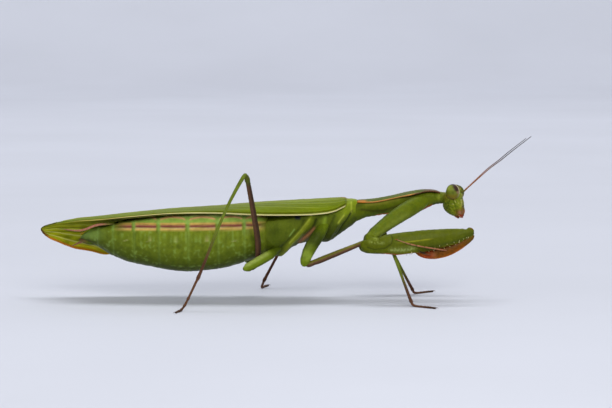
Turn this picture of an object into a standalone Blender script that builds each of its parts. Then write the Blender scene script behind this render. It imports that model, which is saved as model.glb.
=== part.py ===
"""European mantis (Mantis religiosa), a gravid green female standing at rest, life size.

Metres, +Z up, +X towards the head, +Y to the animal's left. The origin is the middle of the
model's box, on the floor that the four walking feet stand on. Tables are in millimetres.
"""
import math

import bmesh
import bpy
from mathutils import Matrix, Vector

MM = 0.001

# Middle of the model's box in the tables' own frame, in mm.
CENTRE_X = -0.36
CENTRE_Y = 1.555

# Clear gap between neighbouring pieces, and the thickness of a wing, in mm.
GAP = 0.3
WING_THICKNESS = 0.5

RIGHT = -1
LEFT = 1
SIDES = {"right": RIGHT, "left": LEFT}

# Trunk sections along X: x, top, height of the widest line, bottom, half width.
PROTHORAX = (
    (11.8, 16.35, 15.7, 13.3, 1.15),
    (12.1, 16.60, 15.9, 13.1, 1.65),
    (13.6, 16.75, 16.1, 13.4, 1.65),
    (16.0, 17.05, 16.4, 14.0, 1.60),
    (18.4, 17.60, 17.0, 14.4, 1.85),
    (20.3, 18.00, 17.5, 14.6, 2.25),
    (22.3, 18.35, 17.8, 14.9, 2.15),
    (24.0, 18.35, 17.8, 15.5, 1.80),
    (24.7, 18.20, 17.6, 15.8, 1.55),
    (24.9, 18.00, 17.4, 16.1, 1.20),
)
NECK = (
    (25.20, 17.75, 17.1, 16.10, 1.00),
    (25.40, 17.80, 17.1, 16.00, 1.10),
    (25.60, 17.75, 17.1, 16.05, 1.00),
)
MESOTHORAX = (
    (11.5, 16.55, 15.4, 12.9, 1.50),
    (11.1, 16.75, 15.4, 12.6, 1.95),
    (9.8, 16.25, 15.0, 11.9, 2.60),
    (8.0, 15.85, 14.6, 10.45, 3.20),
    (6.0, 15.65, 14.3, 9.80, 3.60),
    (3.9, 15.10, 14.0, 9.85, 3.90),
    (3.5, 14.90, 13.9, 10.10, 3.60),
)
METATHORAX = (
    (3.2, 14.75, 13.7, 9.95, 3.65),
    (2.8, 14.85, 13.6, 9.55, 4.00),
    (1.0, 14.75, 13.3, 8.75, 4.15),
    (-0.8, 14.60, 13.0, 7.70, 4.25),
    (-2.4, 14.45, 12.6, 7.40, 4.30),
    (-2.8, 14.20, 12.4, 7.70, 4.00),
)
ABDOMEN_FRONT = (
    (-3.1, 13.95, 11.6, 7.60, 4.10),
    (-3.5, 14.30, 11.4, 7.30, 4.40),
    (-6.2, 14.35, 10.9, 6.65, 4.95),
    (-9.5, 14.15, 10.5, 5.70, 5.40),
    (-13.0, 13.90, 10.3, 5.05, 5.70),
    (-15.5, 13.70, 10.2, 4.85, 5.80),
    (-15.7, 13.60, 10.2, 4.95, 5.70),
)
ABDOMEN_REAR = (
    (-16.0, 13.55, 10.2, 4.95, 5.70),
    (-16.2, 13.65, 10.2, 4.83, 5.80),
    (-19.2, 13.25, 10.3, 5.10, 5.65),
    (-22.2, 12.85, 10.4, 5.70, 5.25),
    (-25.2, 12.55, 10.6, 6.30, 4.65),
    (-27.6, 12.50, 10.8, 7.05, 3.95),
    (-27.9, 12.40, 10.8, 7.30, 3.80),
)
ABDOMEN_TIP = (
    (-28.2, 12.50, 10.8, 7.35, 3.75),
    (-28.4, 12.55, 10.8, 7.35, 3.70),
    (-30.0, 12.35, 10.9, 8.25, 3.00),
    (-31.6, 12.05, 10.9, 9.20, 2.10),
    (-32.9, 11.40, 10.6, 9.65, 1.30),
    (-33.4, 10.90, 10.4, 9.95, 0.60),
)

# Head sections from the crown down, in the head's own frame: z, rear, front, half width.
HEAD_PLACE = (27.75, 0.0, 18.05)
HEAD_YAW_DEG = -12.0
HEAD_ROLL_DEG = -6.0
HEAD = (
    (1.15, -0.30, 0.45, 0.70),
    (0.95, -0.70, 0.75, 1.35),
    (0.35, -1.15, 1.08, 2.05),
    (-0.50, -1.50, 1.25, 2.40),
    (-1.40, -1.72, 1.45, 2.32),
    (-2.40, -1.78, 1.66, 1.85),
    (-3.20, -1.42, 1.72, 1.40),
    (-3.75, -0.65, 1.65, 1.05),
    (-3.95, -0.30, 1.45, 0.80),
)
MOUTHPARTS = (
    (-4.25, 0.05, 1.50, 0.80),
    (-4.45, 0.20, 1.50, 0.75),
    (-4.62, 0.60, 1.20, 0.45),
)
EYE_PLACE = (0.16, 2.52, -0.13)
EYE_RADII = (1.12, 1.09, 1.26)
EYE_TILT_DEG = 12.0

ANTENNA_PATH = (
    (29.65, 0.70, 18.35),
    (31.42, 1.5, 20.12),
    (33.38, 2.5, 21.98),
    (35.22, 3.3, 23.45),
    (36.9, 4.0, 24.9),
    (39.97, 5.0, 27.4),
)
ANTENNA_RADII = (0.32, 0.25)
# How much lower the left feeler ends.
ANTENNA_DROP = 0.85

CERCUS_PATHS = {
    "right": ((-30.6, -3.35, 12.75), (-31.4, -3.6, 12.7), (-33.7, -3.9, 11.95), (-36.3, -3.7, 12.2)),
    "left": ((-32.0, 2.45, 10.15), (-33.4, 2.8, 9.65), (-35.6, 3.1, 8.75)),
}
CERCUS_RADII = (0.36, 0.26)

# Tegmina: x, height of the inner edge, y of the inner edge, y of the costal edge, fall to it.
TEGMEN_RIGHT = (
    (9.8, 16.90, 0.20, 2.4, 0.60),
    (9.1, 16.97, 0.20, 3.5, 1.20),
    (8.3, 17.00, 0.20, 4.1, 1.50),
    (6.8, 16.90, 0.20, 5.0, 2.00),
    (4.2, 16.75, 0.20, 5.6, 2.15),
    (-0.3, 16.50, 0.20, 6.1, 1.95),
    (-4.8, 16.20, 0.20, 6.3, 1.60),
    (-12.0, 15.65, 0.20, 6.3, 0.75),
    (-19.0, 15.20, 0.20, 6.0, 0.40),
    (-26.0, 14.50, 0.20, 5.3, 0.25),
    (-30.7, 13.95, 0.20, 4.6, 0.20),
    (-34.2, 13.60, 0.20, 3.6, 0.15),
    (-36.6, 13.25, 0.20, 2.3, 0.10),
    (-37.9, 12.95, 0.20, 0.9, 0.05),
)
TEGMEN_LEFT = (
    (9.8, 16.90, 0.20, 2.4, 0.60),
    (9.1, 16.97, 0.20, 3.5, 1.20),
    (8.3, 17.00, 0.20, 4.1, 1.50),
    (6.8, 16.90, 0.20, 5.0, 2.00),
    (4.2, 16.75, 0.20, 5.7, 2.20),
    (-0.3, 16.50, 0.20, 6.2, 2.25),
    (-4.8, 16.20, 0.20, 6.5, 2.40),
    (-12.0, 15.65, 0.20, 6.9, 3.30),
    (-19.0, 15.20, 0.20, 7.0, 4.70),
    (-25.0, 14.60, 0.20, 6.6, 6.20),
    (-29.9, 14.05, 0.20, 6.0, 6.95),
    (-32.9, 13.70, 0.20, 5.6, 6.00),
    (-35.3, 13.40, 0.20, 5.3, 5.30),
    (-37.8, 12.80, 1.20, 4.95, 3.85),
    (-39.4, 12.40, 2.20, 4.60, 2.70),
    (-40.4, 12.00, 2.90, 4.25, 1.50),
    (-40.85, 11.60, 3.35, 4.05, 0.65),
)
WING_POWERS = {"right": 2.4, "left": 2.2}
# The hind wings lie folded under them: from root to end along X, and from the inner edge outward.
HINDWING_ENDS = (2.6, -26.5)
HINDWING_SPANS = {"right": (0.05, 0.58), "left": (0.05, 0.34)}

# Foreleg, drawn for the right side: x, y, z of the middle line, half depth, half thickness.
FORE_COXA = (
    (22.2, -3.00, 16.70, 0.45, 0.35),
    (21.6, -3.10, 16.35, 1.05, 0.55),
    (20.4, -3.45, 15.70, 1.32, 0.78),
    (18.7, -4.05, 14.60, 1.32, 0.86),
    (16.9, -4.95, 13.40, 1.15, 0.80),
    (15.2, -5.90, 12.20, 1.00, 0.75),
    (14.4, -6.40, 11.55, 0.90, 0.70),
    (14.05, -6.60, 11.20, 0.55, 0.40),
)
FORE_FEMUR = (
    (12.35, -7.20, 9.75, 0.35, 0.35),
    (12.9, -7.25, 9.75, 0.85, 0.60),
    (14.0, -7.40, 9.65, 1.10, 0.75),
    (15.2, -7.50, 9.65, 1.20, 0.80),
    (16.6, -7.50, 10.00, 1.46, 0.86),
    (18.6, -7.50, 10.10, 1.72, 0.90),
    (20.5, -7.40, 10.32, 1.70, 0.86),
    (22.6, -7.20, 10.62, 1.60, 0.80),
    (25.1, -6.90, 10.95, 1.42, 0.70),
    (27.5, -6.50, 11.30, 1.12, 0.62),
    (29.2, -6.30, 11.62, 0.84, 0.55),
    (30.3, -6.20, 11.85, 0.48, 0.42),
)
FORE_TIBIA = (
    (30.20, -6.20, 10.76, 0.26, 0.28),
    (29.80, -6.20, 10.25, 0.38, 0.38),
    (28.90, -6.25, 9.72, 0.52, 0.44),
    (27.98, -6.32, 9.26, 0.62, 0.46),
    (26.60, -6.42, 8.72, 0.72, 0.46),
    (25.20, -6.52, 8.36, 0.74, 0.43),
    (23.80, -6.62, 8.12, 0.56, 0.38),
    (22.60, -6.70, 8.06, 0.34, 0.30),
    (21.50, -6.80, 8.20, 0.25, 0.25),
)
FORE_TARSUS = (
    (24.6, -7.55, 8.75, 0.25),
    (23.4, -8.35, 9.60, 0.27),
    (21.5, -8.75, 10.10, 0.26),
    (18.9, -8.85, 10.75, 0.25),
    (16.4, -8.75, 11.30, 0.25),
)
# Outer spines of the femur, from a root inside it to a tip, and their root radius.
FEMUR_SPINES = (
    ((26.9, -6.8, 11.0), (27.1, -7.6, 9.6)),
    ((25.5, -7.1, 10.4), (25.6, -7.9, 8.9)),
    ((22.1, -7.5, 9.7), (22.3, -8.2, 8.2)),
    ((20.4, -7.7, 9.3), (20.5, -8.3, 7.7)),
)
SPINE_RADIUS = 0.24
# How much lower the left foreleg is held than the right one.
FORE_DROP = {"right": 0.0, "left": 1.42}

# Walking legs: x, y, z of the middle line and the radius there.
MID_COXA = (
    (5.5, -4.05, 11.7, 0.55),
    (5.2, -4.15, 11.1, 0.84),
    (4.4, -4.45, 9.8, 0.94),
    (3.7, -4.80, 8.4, 0.88),
    (3.25, -5.00, 7.2, 0.76),
    (3.05, -5.10, 6.5, 0.50),
    (3.00, -5.15, 6.2, 0.20),
)
MID_FEMUR = (
    (4.45, -4.90, 6.75, 0.42),
    (5.4, -4.95, 7.05, 0.47),
    (8.0, -4.95, 8.10, 0.46),
    (11.8, -4.80, 9.65, 0.42),
    (15.7, -4.55, 11.25, 0.38),
)
MID_TIBIA = (
    (16.35, -4.70, 10.95, 0.30),
    (17.9, -6.35, 7.40, 0.28),
    (19.3, -7.95, 3.60, 0.27),
    (20.3, -9.00, 1.00, 0.27),
)
MID_TARSUS = (
    (20.55, -9.30, 0.45, 0.28),
    (21.2, -9.95, 0.20, 0.27),
    (22.8, -11.40, 0.20, 0.26),
    (24.3, -12.70, 0.20, 0.25),
)
HIND_COXA = (
    (-1.6, -3.55, 8.50, 0.45),
    (-2.5, -4.05, 8.00, 0.70),
    (-3.9, -4.95, 7.26, 0.74),
    (-5.4, -5.90, 6.50, 0.72),
    (-6.3, -6.50, 6.05, 0.58),
    (-6.8, -6.85, 5.80, 0.28),
)
HIND_FEMUR = (
    (-5.3, -4.25, 6.10, 0.36),
    (-4.85, -3.60, 6.50, 0.38),
    (-4.65, -3.58, 7.30, 0.40),
    (-4.55, -4.10, 8.30, 0.42),
    (-4.60, -6.20, 10.90, 0.46),
    (-5.3, -10.60, 16.20, 0.42),
    (-6.15, -14.90, 21.45, 0.38),
)
HIND_TIBIA = (
    (-6.95, -15.25, 21.20, 0.32),
    (-8.9, -15.20, 17.40, 0.29),
    (-11.0, -15.30, 12.65, 0.27),
    (-13.0, -15.45, 7.55, 0.27),
    (-13.95, -15.50, 5.30, 0.28),
)
HIND_TARSUS = (
    (-14.25, -15.55, 4.70, 0.29),
    (-15.1, -15.70, 2.90, 0.30),
    (-16.0, -15.95, 1.10, 0.30),
    (-16.6, -16.40, 0.30, 0.28),
    (-17.05, -17.30, 0.20, 0.27),
    (-17.4, -18.60, 0.20, 0.25),
)
# The left walking legs where they do not mirror the right ones.
LEFT_MID_DROP = 0.95
LEFT_MID_TIBIA = (
    (16.35, 4.70, 10.00, 0.30),
    (18.2, 6.10, 6.70, 0.28),
    (19.9, 7.40, 3.40, 0.27),
    (21.2, 8.40, 1.00, 0.27),
)
LEFT_MID_TARSUS = (
    (21.45, 8.70, 0.45, 0.28),
    (22.1, 9.40, 0.20, 0.27),
    (23.6, 10.90, 0.20, 0.26),
    (25.0, 12.30, 0.20, 0.25),
)
LEFT_HIND_FEMUR = (
    (-5.3, 4.25, 6.10, 0.36),
    (-4.85, 3.60, 6.50, 0.38),
    (-4.65, 3.50, 7.30, 0.40),
    (-4.40, 4.10, 8.30, 0.42),
    (-2.80, 7.40, 9.80, 0.46),
    (0.3, 14.00, 12.60, 0.42),
    (2.6, 19.40, 15.00, 0.38),
)
LEFT_HIND_TIBIA = (
    (2.95, 19.85, 14.20, 0.32),
    (1.3, 19.25, 11.10, 0.29),
    (-0.9, 18.50, 7.00, 0.27),
    (-2.9, 17.80, 3.30, 0.27),
    (-3.9, 17.45, 1.45, 0.28),
)
LEFT_HIND_TARSUS = (
    (-4.1, 17.40, 0.85, 0.29),
    (-4.3, 17.60, 0.32, 0.30),
    (-4.2, 18.10, 0.20, 0.28),
    (-3.7, 20.00, 0.20, 0.27),
    (-3.2, 21.70, 0.20, 0.25),
)

COLOURS = {
    "trunk": (0.16, 0.24, 0.05),
    "abdomen": (0.13, 0.20, 0.05),
    "wing": (0.22, 0.30, 0.05),
    "eye": (0.20, 0.24, 0.06),
    "foreleg": (0.15, 0.25, 0.03),
    "tibia": (0.35, 0.15, 0.04),
    "brown": (0.16, 0.09, 0.05),
    "coxa": (0.16, 0.30, 0.04),
    "feeler": (0.20, 0.08, 0.06),
    "mouth": (0.30, 0.08, 0.04),
}


def place(x, y, z):
    """A point of the tables, in metres from the part's origin."""
    return Vector(((x - CENTRE_X) * MM, (y - CENTRE_Y) * MM, z * MM))


def smooth_rows(rows, count, straight=0):
    """Read a table at even steps along a Catmull-Rom curve through its rows.

    The first columns, as many as straight says, run in straight lines from row to row.
    """
    last = len(rows) - 1
    result = []
    for step in range(count):
        position = last * step / (count - 1)
        index = min(int(position), last - 1)
        t = position - index
        before = rows[max(index - 1, 0)]
        start = rows[index]
        end = rows[index + 1]
        after = rows[min(index + 2, last)]
        row = []
        for column, (p0, p1, p2, p3) in enumerate(zip(before, start, end, after)):
            if column < straight:
                row.append(p1 + (p2 - p1) * t)
                continue
            bend = (2 * p0 - 5 * p1 + 4 * p2 - p3) * t * t
            twist = (3 * p1 - p0 - 3 * p2 + p3) * t * t * t
            row.append(0.5 * (2 * p1 + (p2 - p0) * t + bend + twist))
        result.append(tuple(row))
    return result


def signed_power(value, power):
    return math.copysign(abs(value) ** power, value)


def material(name, colour, roughness=0.5):
    finish = bpy.data.materials.new(name)
    finish.use_nodes = True
    shader = finish.node_tree.nodes["Principled BSDF"]
    shader.inputs["Base Color"].default_value = (*colour, 1.0)
    shader.inputs["Roughness"].default_value = roughness
    shader.inputs["Metallic"].default_value = 0.0
    return finish


def new_collection(name):
    collection = bpy.data.collections.new(name)
    bpy.context.scene.collection.children.link(collection)
    return collection


def add_mesh(name, mesh_bm, collection, finish=None):
    """Make an object of a closed body, with its faces pointing out."""
    bmesh.ops.recalc_face_normals(mesh_bm, faces=mesh_bm.faces)
    mesh = bpy.data.meshes.new(name)
    mesh_bm.to_mesh(mesh)
    mesh_bm.free()
    mesh.shade_smooth()
    piece = bpy.data.objects.new(name, mesh)
    collection.objects.link(piece)
    if finish is not None:
        mesh.materials.append(finish)
    return piece


def loft(rings):
    """Join like rings of points into one closed body with flat ends."""
    body = bmesh.new()
    loops = [[body.verts.new(point) for point in ring] for ring in rings]
    for first, second in zip(loops, loops[1:]):
        for index in range(len(first)):
            following = (index + 1) % len(first)
            body.faces.new((first[index], first[following], second[following], second[index]))
    body.faces.new(loops[0])
    body.faces.new(loops[-1])
    return body


def trunk_ring(row, sides, top_power=2.6, bottom_power=2.0):
    """A section across the trunk: rounder below its widest line than above it."""
    x, top, middle, bottom, half_width = row
    ring = []
    for index in range(sides):
        angle = 2 * math.pi * index / sides
        power = 2.0 / (top_power if math.sin(angle) > 0 else bottom_power)
        height = (top - middle) if math.sin(angle) > 0 else (middle - bottom)
        y = half_width * signed_power(math.cos(angle), power)
        z = middle + height * signed_power(math.sin(angle), power)
        ring.append(place(x, y, z))
    return ring


def trunk_piece(name, table, count, sides, finish, parts, top_power=2.6, bottom_power=2.0):
    rings = [trunk_ring(row, sides, top_power, bottom_power) for row in smooth_rows(table, count, 1)]
    return add_mesh(name, loft(rings), parts, finish)


def head_frame():
    """From the head's own frame, in mm, to the part's frame."""
    turn = Matrix.Rotation(math.radians(HEAD_YAW_DEG), 4, "Z")
    roll = Matrix.Rotation(math.radians(HEAD_ROLL_DEG), 4, "X")
    return Matrix.Translation(place(*HEAD_PLACE)) @ turn @ roll @ Matrix.Scale(MM, 4)


def head_piece(name, table, count, sides, finish, parts):
    frame = head_frame()
    rings = []
    for z, rear, front, half_width in smooth_rows(table, count, 1):
        middle = (rear + front) / 2
        reach = (front - rear) / 2
        ring = []
        for index in range(sides):
            angle = 2 * math.pi * index / sides
            x = middle + reach * signed_power(math.cos(angle), 0.85)
            y = half_width * signed_power(math.sin(angle), 0.85)
            ring.append(frame @ Vector((x, y, z)))
        rings.append(ring)
    return add_mesh(name, loft(rings), parts, finish)


def eye_piece(name, side, finish, parts, clearance=0.0):
    """One compound eye, an upright egg; with a clearance it is the cutter of its socket."""
    x, y, z = EYE_PLACE
    radii = [radius + clearance for radius in EYE_RADII]
    lean = Matrix.Rotation(math.radians(-side * EYE_TILT_DEG), 4, "X")
    eye = bmesh.new()
    bmesh.ops.create_uvsphere(eye, u_segments=14, v_segments=8, radius=1.0)
    stretch = Matrix.Diagonal((*radii, 1.0))
    centre = Matrix.Translation((x, side * y, z))
    bmesh.ops.transform(eye, matrix=head_frame() @ centre @ lean @ stretch, verts=eye.verts)
    return add_mesh(name, eye, parts, finish)


def combine(piece, cutter, operation):
    """Cut a helper body out of a piece, or join it on; the helper itself is not shown."""
    change = piece.modifiers.new(cutter.name, "BOOLEAN")
    change.operation = operation
    change.object = cutter
    change.solver = "EXACT"
    cutter.hide_render = True
    cutter.display_type = "WIRE"


def tube(name, rows, count, finish, parts):
    """A round limb: a curve through its rows, thick as their last column says."""
    curve = bpy.data.curves.new(name + "_path", "CURVE")
    curve.dimensions = "3D"
    curve.bevel_depth = MM
    curve.bevel_resolution = 2
    curve.use_fill_caps = True
    spline = curve.splines.new("POLY")
    points = smooth_rows(rows, count)
    spline.points.add(len(points) - 1)
    for point, (x, y, z, radius) in zip(spline.points, points):
        point.co = (*place(x, y, z), 1.0)
        point.radius = radius
    guide = bpy.data.objects.new(name + "_path", curve)
    bpy.context.scene.collection.objects.link(guide)
    evaluated = guide.evaluated_get(bpy.context.evaluated_depsgraph_get())
    mesh = bpy.data.meshes.new_from_object(evaluated)
    limb = bmesh.new()
    limb.from_mesh(mesh)
    bmesh.ops.remove_doubles(limb, verts=limb.verts, dist=0.002 * MM)
    bpy.data.objects.remove(guide)
    bpy.data.curves.remove(curve)
    bpy.data.meshes.remove(mesh)
    return add_mesh(name, limb, parts, finish)


def flatten_sole(piece):
    """Trim a foot level with the floor, so that it stands on a small flat."""
    sole = bmesh.new()
    sole.from_mesh(piece.data)
    everything = list(sole.verts) + list(sole.edges) + list(sole.faces)
    cut = bmesh.ops.bisect_plane(
        sole,
        geom=everything,
        plane_co=(0, 0, 0),
        plane_no=(0, 0, -1),
        clear_outer=True,
    )
    edges = [item for item in cut["geom_cut"] if isinstance(item, bmesh.types.BMEdge)]
    bmesh.ops.holes_fill(sole, edges=edges)
    bmesh.ops.remove_doubles(sole, verts=sole.verts, dist=0.005 * MM)
    bmesh.ops.recalc_face_normals(sole, faces=sole.faces)
    sole.to_mesh(piece.data)
    sole.free()


def mirrored(rows, side, drop=0.0):
    """The right side's table for the given side; drop lowers its far end."""
    last = len(rows) - 1
    result = []
    for index, row in enumerate(rows):
        result.append((row[0], -side * row[1], row[2] - drop * index / last, *row[3:]))
    return result


def lowered(rows, side, drop):
    """The right side's table for the given side, held lower by the same drop throughout."""
    return [(row[0], -side * row[1], row[2] - drop, *row[3:]) for row in rows]


def flat_limb(name, rows, count, sides, finish, parts):
    """A limb deeper than it is thick; its depth lies in the plane that holds the X and Z axes."""
    points = smooth_rows(rows, count)
    rings = []
    for index, (x, y, z, half_depth, half_thickness) in enumerate(points):
        ahead = Vector(points[min(index + 1, count - 1)][:3])
        behind = Vector(points[max(index - 1, 0)][:3])
        along = (ahead - behind).normalized()
        across = (Vector((0, 1, 0)) - along * along.y).normalized()
        depth = along.cross(across)
        centre = Vector((x, y, z))
        ring = []
        for step in range(sides):
            angle = 2 * math.pi * step / sides
            offset = depth * (half_depth * math.sin(angle))
            offset += across * (half_thickness * math.cos(angle))
            ring.append(place(*(centre + offset)))
        rings.append(ring)
    return add_mesh(name, loft(rings), parts, finish)


def wing_point(row, along_edge, power, side):
    """A point of a tegmen's upper face: 0 at its inner edge, 1 at its costal edge."""
    x, height, inner, outer, fall = row
    reach = math.sin(along_edge * math.pi / 2) ** (2 / power)
    down = 1 - math.cos(along_edge * math.pi / 2) ** (2 / power)
    return place(x, side * (inner + (outer - inner) * reach), height - fall * down)


def wing_grid(side_name, rows_count, columns, ends=(99.0, -99.0), span=(0.0, 1.0)):
    """Points of a tegmen's upper face between two stations of X and two shares of its width."""
    table = TEGMEN_RIGHT if side_name == "right" else TEGMEN_LEFT
    rows = [row for row in smooth_rows(table, 121, 1) if ends[1] <= row[0] <= ends[0]]
    shares = [span[0] + (span[1] - span[0]) * column / columns for column in range(columns + 1)]
    grid = []
    for index in range(rows_count):
        row = rows[round(index * (len(rows) - 1) / (rows_count - 1))]
        grid.append([wing_point(row, share, WING_POWERS[side_name], SIDES[side_name]) for share in shares])
    return grid


def sheet(name, grid, thickness, lift, finish, parts):
    """A thin plate below a grid of points; lift moves it along its own outward side."""
    plate = bmesh.new()
    verts = [[plate.verts.new(point) for point in row] for row in grid]
    for first, second in zip(verts, verts[1:]):
        for index in range(len(first) - 1):
            plate.faces.new((first[index], first[index + 1], second[index + 1], second[index]))
    plate.normal_update()
    if sum(face.normal.z for face in plate.faces) < 0:
        bmesh.ops.reverse_faces(plate, faces=plate.faces)
        plate.normal_update()
    shifts = {vert: vert.normal * lift * MM for vert in plate.verts}
    for vert, shift in shifts.items():
        vert.co += shift
    mesh = bpy.data.meshes.new(name)
    plate.to_mesh(mesh)
    plate.free()
    mesh.shade_smooth()
    mesh.materials.append(finish)
    piece = bpy.data.objects.new(name, mesh)
    parts.objects.link(piece)
    thicken = piece.modifiers.new("thickness", "SOLIDIFY")
    thicken.thickness = thickness * MM
    thicken.offset = -1.0
    thicken.use_even_offset = True
    return piece


def spine(name, foot, tip, radius, cutters):
    """A slim five-sided spine from one point of the tables to another."""
    foot_point = place(*foot)
    tip_point = place(*tip)
    along = tip_point - foot_point
    body = bmesh.new()
    bmesh.ops.create_cone(
        body,
        cap_ends=True,
        segments=5,
        radius1=radius * MM,
        radius2=0.3 * radius * MM,
        depth=along.length,
    )
    turn = along.to_track_quat("Z", "Y").to_matrix().to_4x4()
    middle = Matrix.Translation((foot_point + tip_point) / 2)
    bmesh.ops.transform(body, matrix=middle @ turn, verts=body.verts)
    return add_mesh(name, body, cutters)


def build_trunk(parts, cutters, finishes):
    trunk = finishes["trunk"]
    abdomen = finishes["abdomen"]
    trunk_piece("prothorax", PROTHORAX, 17, 14, trunk, parts)
    trunk_piece("neck", NECK, 5, 12, trunk, parts, 2.0)
    trunk_piece("mesothorax", MESOTHORAX, 13, 14, trunk, parts)
    trunk_piece("metathorax", METATHORAX, 11, 14, trunk, parts)
    trunk_piece("abdomen_front", ABDOMEN_FRONT, 13, 16, abdomen, parts, 2.9, 2.0)
    trunk_piece("abdomen_rear", ABDOMEN_REAR, 13, 16, abdomen, parts, 2.9, 2.1)
    trunk_piece("abdomen_tip", ABDOMEN_TIP, 11, 16, abdomen, parts, 2.6, 2.1)


def build_head(parts, cutters, finishes):
    head = head_piece("head", HEAD, 13, 16, finishes["trunk"], parts)
    head_piece("mouthparts", MOUTHPARTS, 5, 12, finishes["mouth"], parts)
    for name, side in SIDES.items():
        eye_piece("eye_" + name, side, finishes["eye"], parts)
        combine(head, eye_piece("socket_" + name, side, None, cutters, GAP), "DIFFERENCE")
        root = ANTENNA_PATH[0][0]
        fall = (ANTENNA_DROP if side == LEFT else 0.0) / (ANTENNA_PATH[-1][0] - root)
        path = [(x, side * y, z - fall * (x - root)) for x, y, z in ANTENNA_PATH]
        rows = taper(path, ANTENNA_RADII)
        tube("antenna_" + name, rows, 11, finishes["feeler"], parts)


def taper(path, radii):
    """Give a path a radius that runs evenly from its root to its tip."""
    last = len(path) - 1
    return [(*point, radii[0] + (radii[1] - radii[0]) * index / last) for index, point in enumerate(path)]


def build_wings(parts, cutters, finishes):
    for name in SIDES:
        grid = wing_grid(name, 21, 5)
        sheet("tegmen_" + name, grid, WING_THICKNESS, 0.0, finishes["wing"], parts)
        under = wing_grid(name, 10, 3, HINDWING_ENDS, HINDWING_SPANS[name])
        lift = -(WING_THICKNESS + GAP + 0.1)
        sheet("hindwing_" + name, under, WING_THICKNESS, lift, finishes["wing"], parts)


def build_cerci(parts, cutters, finishes):
    for name, path in CERCUS_PATHS.items():
        tube("cercus_" + name, taper(path, CERCUS_RADII), 8, finishes["feeler"], parts)


def build_forelegs(parts, cutters, finishes):
    for name, side in SIDES.items():
        drop = FORE_DROP[name]
        coxa = mirrored(FORE_COXA, side, drop)
        flat_limb("fore_coxa_" + name, coxa, 13, 10, finishes["coxa"], parts)
        rows = lowered(FORE_FEMUR, side, drop)
        femur = flat_limb("fore_femur_" + name, rows, 17, 10, finishes["foreleg"], parts)
        for index, ends in enumerate(FEMUR_SPINES):
            foot, tip = lowered(ends, side, drop)
            label = f"femur_spine_{name}_{index}"
            combine(femur, spine(label, foot, tip, SPINE_RADIUS, cutters), "UNION")
        flat_limb("fore_tibia_" + name, lowered(FORE_TIBIA, side, drop), 13, 8, finishes["tibia"], parts)
        tube("fore_tarsus_" + name, lowered(FORE_TARSUS, side, drop), 9, finishes["feeler"], parts)


def build_walking_legs(parts, cutters, finishes):
    tables = {
        "mid_coxa_right": MID_COXA,
        "mid_femur_right": MID_FEMUR,
        "mid_tibia_right": MID_TIBIA,
        "mid_tarsus_right": MID_TARSUS,
        "hind_coxa_right": HIND_COXA,
        "hind_femur_right": HIND_FEMUR,
        "hind_tibia_right": HIND_TIBIA,
        "hind_tarsus_right": HIND_TARSUS,
        "mid_coxa_left": mirrored(MID_COXA, LEFT, LEFT_MID_DROP),
        "mid_femur_left": lowered(MID_FEMUR, LEFT, LEFT_MID_DROP),
        "mid_tibia_left": LEFT_MID_TIBIA,
        "mid_tarsus_left": LEFT_MID_TARSUS,
        "hind_coxa_left": mirrored(HIND_COXA, LEFT),
        "hind_femur_left": LEFT_HIND_FEMUR,
        "hind_tibia_left": LEFT_HIND_TIBIA,
        "hind_tarsus_left": LEFT_HIND_TARSUS,
    }
    for name, rows in tables.items():
        finish = finishes["coxa"] if "coxa" in name else finishes["brown"]
        piece = tube(name, rows, 2 * len(rows) - 1, finish, parts)
        if "tarsus" in name:
            flatten_sole(piece)


def main():
    for old in list(bpy.data.objects):
        bpy.data.objects.remove(old)
    parts = new_collection("european_mantis")
    cutters = new_collection("cutters")
    finishes = {name: material(name, colour) for name, colour in COLOURS.items()}
    for build in (build_trunk, build_head, build_wings, build_cerci, build_forelegs, build_walking_legs):
        build(parts, cutters, finishes)


main()
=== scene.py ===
"""European mantis, a gravid green female standing at rest, over its solid frame.

Tables are in millimetres: X towards the head, Y to the animal's left, Z up from the floor.
"""

import math

import bmesh
import bpy
import numpy as np
from mathutils import Matrix, Vector

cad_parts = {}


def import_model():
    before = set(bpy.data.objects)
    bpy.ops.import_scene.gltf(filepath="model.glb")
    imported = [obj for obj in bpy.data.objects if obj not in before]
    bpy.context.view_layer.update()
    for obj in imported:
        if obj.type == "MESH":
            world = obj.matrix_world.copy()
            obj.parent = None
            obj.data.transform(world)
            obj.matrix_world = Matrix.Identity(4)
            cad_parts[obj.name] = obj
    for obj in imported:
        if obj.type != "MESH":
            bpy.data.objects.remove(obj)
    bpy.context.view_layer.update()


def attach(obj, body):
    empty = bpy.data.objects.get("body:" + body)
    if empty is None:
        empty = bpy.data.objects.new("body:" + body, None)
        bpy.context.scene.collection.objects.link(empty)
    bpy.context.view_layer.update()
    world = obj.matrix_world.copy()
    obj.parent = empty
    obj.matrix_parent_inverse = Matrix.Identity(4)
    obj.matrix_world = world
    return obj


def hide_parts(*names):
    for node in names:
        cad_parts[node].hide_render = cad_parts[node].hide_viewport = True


MM = 0.001
PI = math.pi
# Middle of the model's box in the tables' own frame.
CENTRE = np.array((-0.36, 1.555, 0.0))

RIGHT = -1
LEFT = 1
SIDES = {"right": RIGHT, "left": LEFT}

# The picture's camera: a long lens, a little above the back of the animal.
CAMERA_AT = (3.3, -447.42, 51.18)
CAMERA_AIM = (3.3, 0.0, 15.97)
LENS_MM = 160.0

# Lamps: name, place and aim in metres, width and height, watts, colour.
LIGHTS = (
    ("key", (0.12, -0.60, 0.31), (0.0, 0.0, 0.01), (0.35, 0.25), 2.9, (1.0, 0.99, 0.96)),
    ("fill", (-0.45, -0.45, 0.25), (0.0, 0.0, 0.01), (0.4, 0.3), 0.3, (0.95, 0.97, 1.0)),
    ("back", (0.0, 0.55, 0.55), (0.0, 0.0, 0.01), (0.6, 0.3), 0.2, (1.0, 1.0, 1.0)),
    ("wall", (0.0, 0.2, 1.6), (0.0, 1.2, 0.3), (1.6, 0.8), 24.0, (0.97, 0.98, 1.0)),
)

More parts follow.
